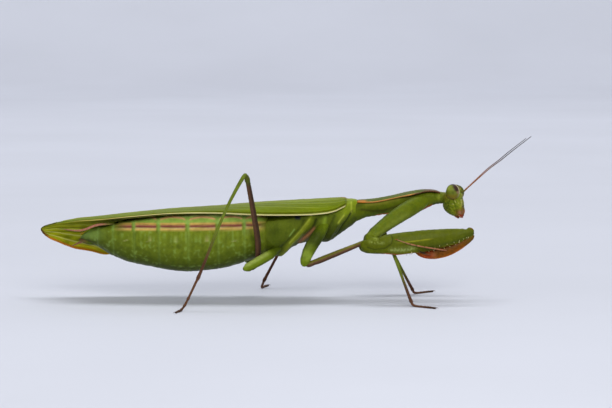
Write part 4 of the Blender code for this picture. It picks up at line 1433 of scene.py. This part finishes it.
def build_tegmina(finish):
    for name, side in SIDES.items():
        grid, share, edge = wing_surface(name, 620, 120)
        x = grid[..., 0]
        root, tip = TEGMEN[name][0][0], TEGMEN[name][-1][0]
        veins = vein_pattern(x, share, root, tip, 9)
        main = hump(edge, 0.60, 0.10)
        rim = ramp(edge, 0.26, 0.17)
        relief = 0.04 * veins * ramp(edge, 0.9, 1.3) + 0.06 * main + 0.02 * ripple(grid, 2.4, 0.6)
        relief = relief - 0.04 * hump(edge, 0.38, 0.06)
        cross = np.abs(np.sin(x * 2 * PI / 0.9 + share * 9)) ** 18
        relief += 0.012 * cross * ramp(edge, 0.9, 1.3)
        normal = surface_normals(grid)
        taper = np.clip(edge / 0.25, 0.15, 1) * np.clip(share / 0.05, 0.15, 1)
        upper = grid + normal * relief[..., None]
        lower = grid + normal * (relief - WING_THICKNESS * taper)[..., None]

        cloud = ripple(grid * (0.3, 1, 1), 1.2, 0.7)
        back = ramp(x, -12.0, -34.0)
        line = painted(srgb(204, 196, 138), (srgb(166, 148, 74), back))
        tint = painted(
            WING_GREEN,
            (srgb(92, 108, 12), 0.5 * ramp(cloud, 0.0, 0.6)),
            # painted shade along the wing's side
            (srgb(88, 104, 14), 0.45 * hump(share, 0.72, 0.12)),
            # painted highlight along the upper part near the inner edge
            (srgb(146, 154, 36), 0.4 * hump(share, 0.25, 0.12) * ramp(x, -16, -4)),
            (srgb(150, 160, 44), 0.5 * veins * ramp(edge, 0.9, 1.4)),
            (srgb(68, 82, 4), 0.35 * np.roll(veins, 3, axis=1) * ramp(edge, 0.9, 1.4)),
            (srgb(150, 112, 50), 0.6 * ramp(share, 0.04, 0.0)),
            (srgb(140, 98, 44), 0.75 * ramp(x, 8.9, 9.5) * ramp(share, 0.35, 0.15)),
            (srgb(70, 66, 18), 0.7 * hump(edge, 0.40, 0.09)),
            (line, 0.92 * rim * window(x, 9.95, 9.6, -31.0, -37.5)),
        )
        if side == LEFT:
            tint = paint_far_end(tint, grid, share, edge, veins)
        body = Body().add(closed_sheet(upper, lower), closed_sheet(tint, tint))
        body.build("fore_wing_" + name, finish, "wing", "tegmen_" + name)


def build_hindwings(finish):
    for name, side in SIDES.items():
        grid, share, _ = wing_surface(name, 260, 90, -0.32)
        kept = (grid[:, 0, 0] < 3.5) & (grid[:, 0, 0] > -27.0)
        last = 66 if side == RIGHT else 44
        grid = grid[kept, 3:last]
        share = share[kept, 3:last]
        pleats = 0.05 * np.sin(share * 26 * PI)
        normal = surface_normals(grid)
        upper = grid + normal * pleats[..., None]
        lower = upper - normal * 0.06
        tint = painted(srgb(130, 130, 60), (BROWN, 7.0 * np.clip(pleats, 0, 1)))
        body = Body().add(closed_sheet(upper, lower), closed_sheet(tint, tint))
        body.build("folded_hind_wing_" + name, finish, "hindwing", "hindwing_" + name)


# Forelegs


class ForelegPiece(Body):
    """A piece of the foreleg of one side, drawn from the tables of the right one."""

    def __init__(self, side_name):
        super().__init__()
        self.side = SIDES[side_name]
        self.drop = FORE_DROP[side_name]

    def placed(self, grid):
        return to_side(np.array(grid), self.side, self.drop)

    def grow(self, grid, tint):
        self.add(self.placed(grid), tint)

    def thorn(self, root, tip, radius):
        """A pale spine with a dark point."""
        root = self.placed(root)
        tip = self.placed(tip)
        middle = root + (tip - root) * 0.62
        spike(self, root, tip, radius, srgb(176, 168, 116))
        spike(self, middle, tip + (tip - root) * 0.03, radius * 0.55, srgb(58, 40, 28), sides=7)

    def spine(self, rows, share, rise, way, length, radius):
        """A thorn that grows from a limb, at a share of its length.

        rise is its root in half thicknesses out and half depths up from the limb's middle line.
        """
        steps = 399
        x, y, z, half_depth, half_thickness = smooth(rows, steps + 1)[int(share * steps)]
        root = np.array((x, y + rise[0] * half_thickness, z + rise[1] * half_depth))
        self.thorn(root, root + np.array(way) * length, radius)


def build_fore_coxa(name, skin):
    grid = sweep(FORE_COXA, 170, 64)
    share, angle = shares(grid)
    teeth = np.clip(np.sin(share * 50 * PI), 0, 1) * ramp(share, 0.25, 0.35)
    teeth = teeth * hump(angle, PI / 2, 0.16)
    groove = hump(angle, PI * 1.18, 0.16) * window(share, 0.35, 0.5, 0.75, 0.95)
    relief = 0.03 * teeth - 0.05 * groove + 0.02 * ripple(grid, 0.7, 0.8)
    relief += 0.05 * hump(share, 0.9, 0.04)
    cloud = patches(grid, 1.6, 1.8, 0.5, 0.2)
    mark = hump(share, 0.30, 0.06) * ramp(np.cos(angle), 0.4, 0.9)
    tint = painted(
        srgb(88, 100, 12),
        (srgb(72, 92, 16), 0.5 * ramp(cloud, 0.0, 0.6)),
        # painted highlight along the front of the outer face
        (srgb(138, 152, 60), 0.4 * hump(angle, PI * 0.85, 0.4) * ramp(share, 0.3, 0.5)),
        (DEEP_GREEN, 0.65 * hump(angle, PI * 1.45, 0.5)),
        (srgb(96, 110, 18), 0.8 * ramp(share, 0.2, 0.02)),
        (PALE, 0.4 * teeth),
        (INK, mark),
        (PALE, hump(share, 0.30, 0.022) * ramp(np.cos(angle), 0.8, 0.97)),
    )
    grid = raised(grid, relief)
    lowered = grid - np.array((0.0, 0.0, 1.0)) * (FORE_DROP[name] * share)[..., None]
    body = ForelegPiece(name)
    body.add(to_side(lowered, body.side), tint)
    body.build("fore_coxa_skin_" + name, skin, "leg_green", "fore_coxa_" + name)


def elbow_seam(grid, angle):
    """The dark bent seam where the knuckle passes into the femur, on its outer face."""
    return ramp(-np.cos(angle), 0.1, 0.5) * along_line(grid, ELBOW_SEAM, 0.12)


def femur_tint(grid, share, angle, side):
    """Green with a thin yellow-green ridge, a pale painted highlight below it and a red-orange lower edge.
    """
    cloud = patches(grid, 1.8, 1.8, 0.6, 0.2)
    ridge = hump(angle, PI * 0.95, 0.05) * window(share, 0.30, 0.38, 0.56, 0.66)
    painted_highlight = hump(angle, PI * 1.16, 0.22) * window(share, 0.22, 0.28, 0.42, 0.5)
    painted_highlight *= 0.35 + 0.65 * ramp(ripple(grid, 0.55, 0.9), -0.35, 0.35)
    edge = hump(angle, PI * 1.5, 0.36 if side == RIGHT else 0.75)
    line = hump(angle, PI * 1.40, 0.12) * window(share, 0.16, 0.24, 0.5, 0.56)
    patch = along_line(grid, ((13.7, 10.40), (15.8, 10.25)), 0.20) * ramp(-np.cos(angle), 0.1, 0.5)
    hollow = hump(angle, PI * 1.3, 0.28) * hump(share, 0.60, 0.09)
    return painted(
        srgb(80, 88, 6),
        (srgb(60, 72, 6), 0.45 * ramp(cloud, 0.0, 0.9)),
        (srgb(156, 156, 36), 0.75 * ridge),
        # painted highlight on the lower bulge
        (srgb(160, 176, 104), 0.55 * painted_highlight),
        (srgb(56, 66, 14), 0.6 * hump(angle, PI * 1.2, 0.25) * ramp(share, 0.5, 0.6)),
        (DEEP_GREEN, 0.45 * hump(angle, PI * 1.36, 0.14)),
        (srgb(190, 76, 30), 0.85 * edge * ramp(share, 0.1, 0.3)),
        (srgb(186, 96, 52), 0.8 * line),
        (srgb(36, 46, 6), 0.65 * elbow_seam(grid, angle)),
        # painted highlight on the knuckle's end
        (srgb(150, 164, 84), 0.45 * patch * ramp(ripple(grid, 0.5, 0.7), -0.6, 0.3)),
        # painted shade in the gap between femur and tibia
        (srgb(40, 40, 12), 0.6 * hollow),
        (srgb(58, 66, 8), 0.6 * ramp(share, 0.86, 0.94) * hump(angle, PI * 1.1, 0.5)),
        (srgb(120, 48, 30), 0.6 * hump(share, 0.985, 0.014) * hump(angle, PI * 0.5, 0.6)),
    )


def build_fore_femur(name, skin):
    grid = sweep(FORE_FEMUR, 270, 72)
    share, angle = shares(grid)
    groove = hump(angle, PI * 1.5, 0.28) * window(share, 0.3, 0.42, 0.88, 0.94)
    keels = hump(np.abs(angle - PI * 1.5), 0.55, 0.14) * ramp(share, 0.2, 0.35)
    ridge = hump(angle, PI * 0.93, 0.09) * window(share, 0.30, 0.38, 0.6, 0.75)
    dorsal = hump(angle, PI * 0.5, 0.14)
    knee = hump(share, 0.965, 0.018) * hump(angle, PI * 0.5, 0.5)
    knee -= 0.7 * hump(share, 0.935, 0.02) * hump(angle, PI * 0.5, 0.4)
    relief = -0.22 * groove + 0.08 * keels + 0.05 * ridge + 0.05 * dorsal + 0.14 * knee
    relief += 0.03 * ripple(grid, 1.1, 0.1) - 0.07 * elbow_seam(grid, angle)
    tint = femur_tint(grid, share, angle, SIDES[name])
    grid = raised(grid, relief)
    body = ForelegPiece(name)
    body.grow(grid, tint)
    add_trochanter(body)

    for share, length in ((0.85, 0.4), (0.745, 0.56), (0.62, 0.6), (0.50, 0.48)):
        body.spine(FORE_FEMUR, share, (-0.72, -0.76), (-0.25, -0.35, -1.0), length, 0.08)
    for index in range(14):
        length = 0.6 if index % 2 else 0.35
        share = 0.46 + 0.43 * index / 13
        body.spine(FORE_FEMUR, share, (0.55, -0.85), (-0.1, 0.42, -0.8), length, 0.06)
    for index in range(6):
        share = 0.64 + 0.035 * index
        body.spine(FORE_FEMUR, share, (-0.80, -0.62), (0.08, -0.20, -0.28), 1.0, 0.055)
    for index, length in enumerate((0.4, 0.7, 0.6, 0.35)):
        root = np.array((18.4 + 0.55 * index, -7.25, 8.75))
        body.thorn(root, root + np.array((0.5, 0.1, -0.45)) * length, 0.08)
    body.build("fore_femur_skin_" + name, skin, "leg_green", "fore_femur_" + name)


def add_trochanter(body):
    """The knuckle between coxa and femur."""
    grid = sweep(TROCHANTER, 70, 52)
    # painted highlight on the knuckle, broken up by ripples
    pale = spot(grid, (14.6, -8.0, 10.9), 0.4) * ramp(ripple(grid, 0.4, 1.3), -0.5, 0.4)
    tint = painted(
        srgb(86, 98, 10),
        (DEEP_GREEN, 0.6 * spot(grid, (13.9, -7.9, 10.2), 0.4)),
        (srgb(150, 160, 78), 0.45 * pale),
    )
    body.grow(raised(grid, 0.03 * ripple(grid, 0.6, 0.4)), tint)


def build_fore_tibia(name, skin):
    grid = sweep(FORE_TIBIA, 190, 48)
    share, angle = shares(grid)
    relief = 0.05 * hump(angle, PI * 0.5, 0.2) + 0.04 * hump(angle, PI * 1.5, 0.2)
    relief += 0.05 * hump(share, 0.05, 0.03) + 0.015 * ripple(grid, 0.4, 0.7)
    grid = raised(grid, relief * ramp(share, 1.0, 0.85))
    tint = painted(
        srgb(106, 58, 8),
        (srgb(84, 72, 8), 0.6 * ramp(share, 0.3, 0.05)),
        (srgb(180, 96, 8), 0.85 * hump(angle, PI * 0.5, 0.7) * ramp(share, 0.1, 0.3)),
        (srgb(84, 44, 14), 0.7 * hump(angle, PI * 1.25, 0.5)),
        (srgb(70, 38, 10), 0.45 * ramp(ripple(grid * (1.0, 1.0, 1.4), 0.8, 1.9), 0.1, 0.7)),
        (srgb(176, 130, 104), 0.25 * hump(share, 0.72, 0.04) * hump(angle, PI * 0.9, 0.5)),
        (srgb(170, 56, 24), 0.7 * hump(share, 0.80, 0.07)),
        (DARK, ramp(share, 0.9, 0.97)),
    )
    body = ForelegPiece(name)
    body.grow(grid, tint)
    claw = sweep(TIBIA_HOOK, 26, 14)
    along, _ = shares(claw)
    body.grow(claw, painted(srgb(120, 60, 30), (DARK, ramp(along, 0.2, 0.6))))
    for out, count in ((-0.7, 9), (0.7, 12)):
        for index in range(count):
            step = index / (count - 1)
            way = (-0.55, 0.35 * out, 0.75)
            length = 0.35 + 0.3 * step
            body.spine(FORE_TIBIA, 0.24 + 0.5 * step, (out, 0.6), way, length, 0.06)
    body.build("fore_tibia_skin_" + name, skin, "leg_orange", "fore_tibia_" + name)


def segmented(grid, joints, swell):
    """Swell a foot before each of its joints and pinch it at them."""
    share, _ = shares(grid)
    relief = np.zeros(share.shape)
    pinch = np.zeros(share.shape)
    for joint in joints:
        relief += swell * hump(share, joint - 0.035, 0.03) - 0.8 * swell * hump(share, joint + 0.005, 0.012)
        pinch = np.maximum(pinch, hump(share, joint + 0.005, 0.014))
    return raised(grid, relief), share, pinch


def build_fore_tarsus(name, skin):
    grid = sweep(FORE_TARSUS, 190, 24, (0, 0, 1))
    grid, share, pinch = segmented(grid, (0.46, 0.62, 0.74, 0.83), 0.03)
    tint = painted(
        srgb(150, 96, 70),
        (srgb(150, 110, 74), ramp(share, 0.5, 1.0)),
        (BROWN, 0.7 * pinch),
    )
    body = ForelegPiece(name)
    body.grow(grid, tint)
    toe = body.placed(FORE_TARSUS[-1][:3])
    before = body.placed(FORE_TARSUS[-2][:3])
    claws(body, toe, toe - before, 0.4, RUST)
    body.build("fore_tarsus_skin_" + name, skin, "feeler", "fore_tarsus_" + name)


def build_forelegs(skin, foot_skin):
    for name in SIDES:
        build_fore_coxa(name, skin)
        build_fore_femur(name, skin)
        build_fore_tibia(name, skin)
        build_fore_tarsus(name, foot_skin)


# Walking legs


def leg_rows(name):
    """The table of a leg's part; a left one that has none mirrors the right one."""
    if name in WALKING_LEGS:
        return WALKING_LEGS[name]
    rows = WALKING_LEGS[name.replace("left", "right")]
    last = len(rows) - 1
    result = []
    for index, (x, y, z, radius) in enumerate(rows):
        drop = 0.0
        if name.startswith("mid"):
            drop = LEFT_MID_DROP * (index / last if "coxa" in name else 1.0)
        result.append((x, -y, z - drop, radius))
    return result


def from_middle(grid, axis):
    """How far each point lies along an axis from the middle of its ring."""
    return grid[..., axis] - grid[..., axis].mean(axis=1, keepdims=True)


class WalkingPiece(Body):
    """A piece of a walking leg: its name, its table, the sweep along it and which leg it is of."""

    def __init__(self, pair, part, side):
        super().__init__()
        self.name = f"{pair}_{part}_{side}"
        self.rear = pair == "hind"
        self.right = side == "right"
        self.rows = leg_rows(self.name)
        self.line = sweep(self.rows, 30 * len(self.rows), 28, (1, 0, 0) if self.rear else (0, 1, 0))

    def hairs(self, count, length, tint):
        """Short stiff hairs, spaced in rows along the leg."""
        table = smooth(self.rows, count + 4)[2:-2]
        ahead = np.gradient(table[:, :3], axis=0)
        for index in range(count):
            direction = ahead[index] / np.linalg.norm(ahead[index])
            for turn in (0.4, 2.5, 4.6):
                angle = turn + 0.9 * index
                side = np.cross(direction, (math.sin(angle), math.cos(angle), 0.3))
                side /= np.linalg.norm(side)
                root = table[index, :3] + side * table[index, 3] * 0.8
                spike(self, root, root + side * length + direction * length * 0.9, 0.016, tint, sides=5)


def walking_coxa(piece):
    grid = piece.line
    share, angle = shares(grid)
    ridge = hump(angle, PI * 0.9, 0.25) + hump(angle, PI * 1.9, 0.25)
    relief = 0.04 * ridge * hump(share, 0.5, 0.3) + 0.05 * hump(share, 0.9, 0.03)
    grid = raised(grid, relief + 0.03 * ripple(grid, 0.8, 0.3))
    height = from_middle(grid, 2)
    sheen = ramp(height, 0.1, 0.6) * ramp(share, 0.3, 0.5)
    shade = 0.7 * ramp(share, 0.42, 0.2) if piece.rear else 0.85 * hump(share, 0.46, 0.2)
    return grid, painted(
        srgb(100, 118, 18),
        (srgb(172, 188, 100), (0.6 if piece.rear else 0.25) * sheen),
        # painted shade on the lower side, below the painted highlight (sheen) on top
        (srgb(56, 70, 8), 0.6 * ramp(height, 0.0, -0.7)),
        (srgb(40, 52, 6), shade),
        # painted highlight near the lower end of the mid coxa
        (srgb(150, 172, 70), (0.0 if piece.rear else 0.4) * hump(share, 0.8, 0.08)),
    )


def walking_femur(piece):
    grid = piece.line
    share, angle = shares(grid)
    relief = 0.03 * np.abs(np.sin(2 * angle)) ** 3 + 0.07 * hump(share, 0.95, 0.02)
    grid = raised(grid, relief + 0.02 * ripple(grid, 0.7, 0.6))
    piece.hairs(22, 0.16, srgb(90, 66, 46))
    brown = srgb(92, 62, 46)
    if piece.rear:
        return grid, painted(
            brown,
            (srgb(46, 30, 24), 0.75 * ramp(from_middle(grid, 0), -0.1, 0.25)),
            (srgb(76, 88, 24), 0.85 * ramp(share, 0.88, 0.96)),
            (srgb(64, 80, 16), (0.0 if piece.right else 0.9) * ramp(share, 0.45, 0.3)),
        )
    height = from_middle(grid, 2)
    return grid, painted(
        brown,
        (srgb(104, 104, 34), 0.8 * ramp(height, -0.05, 0.25)),
        (srgb(52, 36, 28), 0.7 * ramp(height, 0.0, -0.3)),
        (srgb(90, 100, 22), 0.6 * ramp(share, 0.7, 0.95)),
    )


def walking_tibia(piece):
    grid = piece.line
    share, angle = shares(grid)
    relief = 0.02 * np.abs(np.sin(2 * angle)) ** 3 + 0.05 * hump(share, 0.97, 0.02)
    grid = raised(grid, relief + 0.012 * ripple(grid, 0.6, 0.6))
    piece.hairs(26, 0.18, srgb(96, 72, 50))
    foot = np.array(piece.rows[-1][:3])
    heading = foot - np.array(piece.rows[-3][:3])
    heading /= np.linalg.norm(heading)
    for sign in (-1, 1):
        tip = foot + heading * 0.35 + np.array((0.25 * sign, 0.2 * sign, 0.0))
        spike(piece, foot, np.maximum(tip, (-99, -99, 0.06)), 0.05, RUST)
    if piece.rear and not piece.right:
        return grid, painted(srgb(64, 78, 16), (srgb(88, 54, 42), ramp(share, 0.60, 0.68)))
    return grid, painted(srgb(98, 112, 34), (srgb(82, 50, 38), ramp(share, 0.5, 0.85)))


def walking_tarsus(piece):
    grid, share, pinch = segmented(piece.line, (0.48, 0.64, 0.76, 0.85), 0.045)
    grid[..., 2] = np.maximum(grid[..., 2], 0.012)
    toe = np.array(piece.rows[-1][:3])
    claws(piece, toe, toe - np.array(piece.rows[-2][:3]), 0.5, srgb(70, 40, 28))
    return grid, painted(srgb(96, 62, 44), (srgb(70, 44, 32), ramp(share, 0.3, 1.0)), (DARK, 0.6 * pinch))


def build_walking_legs(skin, foot_skin):
    parts = (
        ("coxa", walking_coxa, skin, "leg_green"),
        ("femur", walking_femur, skin, "leg_brown"),
        ("tibia", walking_tibia, skin, "leg_brown"),
        ("tarsus", walking_tarsus, foot_skin, "leg_brown"),
    )
    for pair in ("mid", "hind"):
        for part, shape, finish, slot in parts:
            for side in SIDES:
                piece = WalkingPiece(pair, part, side)
                piece.add(*shape(piece)).build(piece.name + "_skin", finish, slot, piece.name)


# Stage, light and camera


def in_metres(point):
    return Vector((np.array(point, dtype=float) - CENTRE) * MM)


def build_stage():
    """A pale floor that runs far back and then curves up into a plain backdrop."""
    finish = Finish("pale_floor")
    clouds = finish.texture("TexNoise", 9.0, Detail=3.0)
    grain = finish.texture("TexNoise", 900.0, Detail=4.0)
    material = finish.made(
        Base_Color=finish.clouded((*srgb(198, 201, 211), 1.0), clouds, 0.97, 1.03),
        Normal=finish.bump(grain.outputs[0], 0.05, 0.12),
        Roughness=0.7,
    )
    floor = bpy.data.meshes.new("floor")
    surface = bmesh.new()
    profile = [(-1.2, 0.0), (0.9, 0.0)]
    for step in range(1, 13):
        turn = PI / 2 * step / 12
        profile.append((0.9 + 0.5 * math.sin(turn), 0.5 - 0.5 * math.cos(turn)))
    profile.append((1.4, 2.0))
    rows = [[surface.verts.new((x, y, z)) for x in (-2.4, 2.4)] for y, z in profile]
    for first, second in zip(rows, rows[1:]):
        surface.faces.new((first[0], first[1], second[1], second[0]))
    surface.to_mesh(floor)
    surface.free()
    floor.shade_smooth()
    floor.materials.append(material)
    stage = bpy.data.objects.new("floor", floor)
    bpy.context.scene.collection.objects.link(stage)


def area_light(name, where, aim, size, power, colour):
    lamp = bpy.data.lights.new(name, "AREA")
    lamp.shape = "RECTANGLE"
    lamp.size = size[0]
    lamp.size_y = size[1]
    lamp.energy = power
    lamp.color = colour
    light = bpy.data.objects.new(name, lamp)
    light.location = where
    light.rotation_euler = (Vector(aim) - Vector(where)).to_track_quat("-Z", "Y").to_euler()
    bpy.context.scene.collection.objects.link(light)


def build_lights():
    world = bpy.data.worlds.new("studio")
    world.use_nodes = True
    background = world.node_tree.nodes["Background"]
    background.inputs["Color"].default_value = (0.97, 0.97, 1.0, 1.0)
    background.inputs["Strength"].default_value = 0.30
    bpy.context.scene.world = world
    for light in LIGHTS:
        area_light(*light)


def build_camera():
    lens = bpy.data.cameras.new("camera")
    lens.lens = LENS_MM
    lens.sensor_width = 36.0
    lens.clip_start = 0.01
    lens.clip_end = 20.0
    camera = bpy.data.objects.new("camera", lens)
    where = in_metres(CAMERA_AT)
    aim = in_metres(CAMERA_AIM)
    camera.location = where
    camera.rotation_euler = (aim - where).to_track_quat("-Z", "Y").to_euler()
    bpy.context.scene.collection.objects.link(camera)
    bpy.context.scene.camera = camera


def main():
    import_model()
    body_skin = cuticle("green_skin")
    belly_skin = cuticle("belly_skin", cloud=0.9, cloudy=0.2, speckle=0.34)
    leg_skin = cuticle("leg_skin", roughness=0.44, cloud=0.8, cloudy=0.15)
    brown_skin = cuticle("brown_leg_skin", speckle=0.2, cloud=0.8, grain=0.08)
    foot_skin = cuticle("foot_skin", speckled=0.02, cloud=0.5, grain=0.06, depth=0.02)
    feeler_skin = cuticle("feeler_skin", speckled=0.0, cloud=0.5, grain=0.05, depth=0.012)
    mouth_skin = cuticle("mouth_skin", roughness=0.36, coat=0.15, cloud=0.5)
    hind_skin = cuticle("hind_wing_skin", speckled=0.0, cloud=0.9, grain=0.1, depthlight=0.3)
    build_abdomen(belly_skin)
    build_cerci(feeler_skin)
    build_thorax(body_skin)
    build_pronotum(body_skin)
    build_fore_body(body_skin)
    build_head(body_skin, mouth_skin)
    build_eyes(eye_material())
    build_antennae(feeler_skin)
    build_tegmina(wing_material())
    build_hindwings(hind_skin)
    build_forelegs(leg_skin, foot_skin)
    build_walking_legs(brown_skin, foot_skin)
    build_stage()
    build_lights()
    build_camera()
    bpy.context.scene.view_settings.view_transform = "Standard"
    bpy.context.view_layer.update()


main()
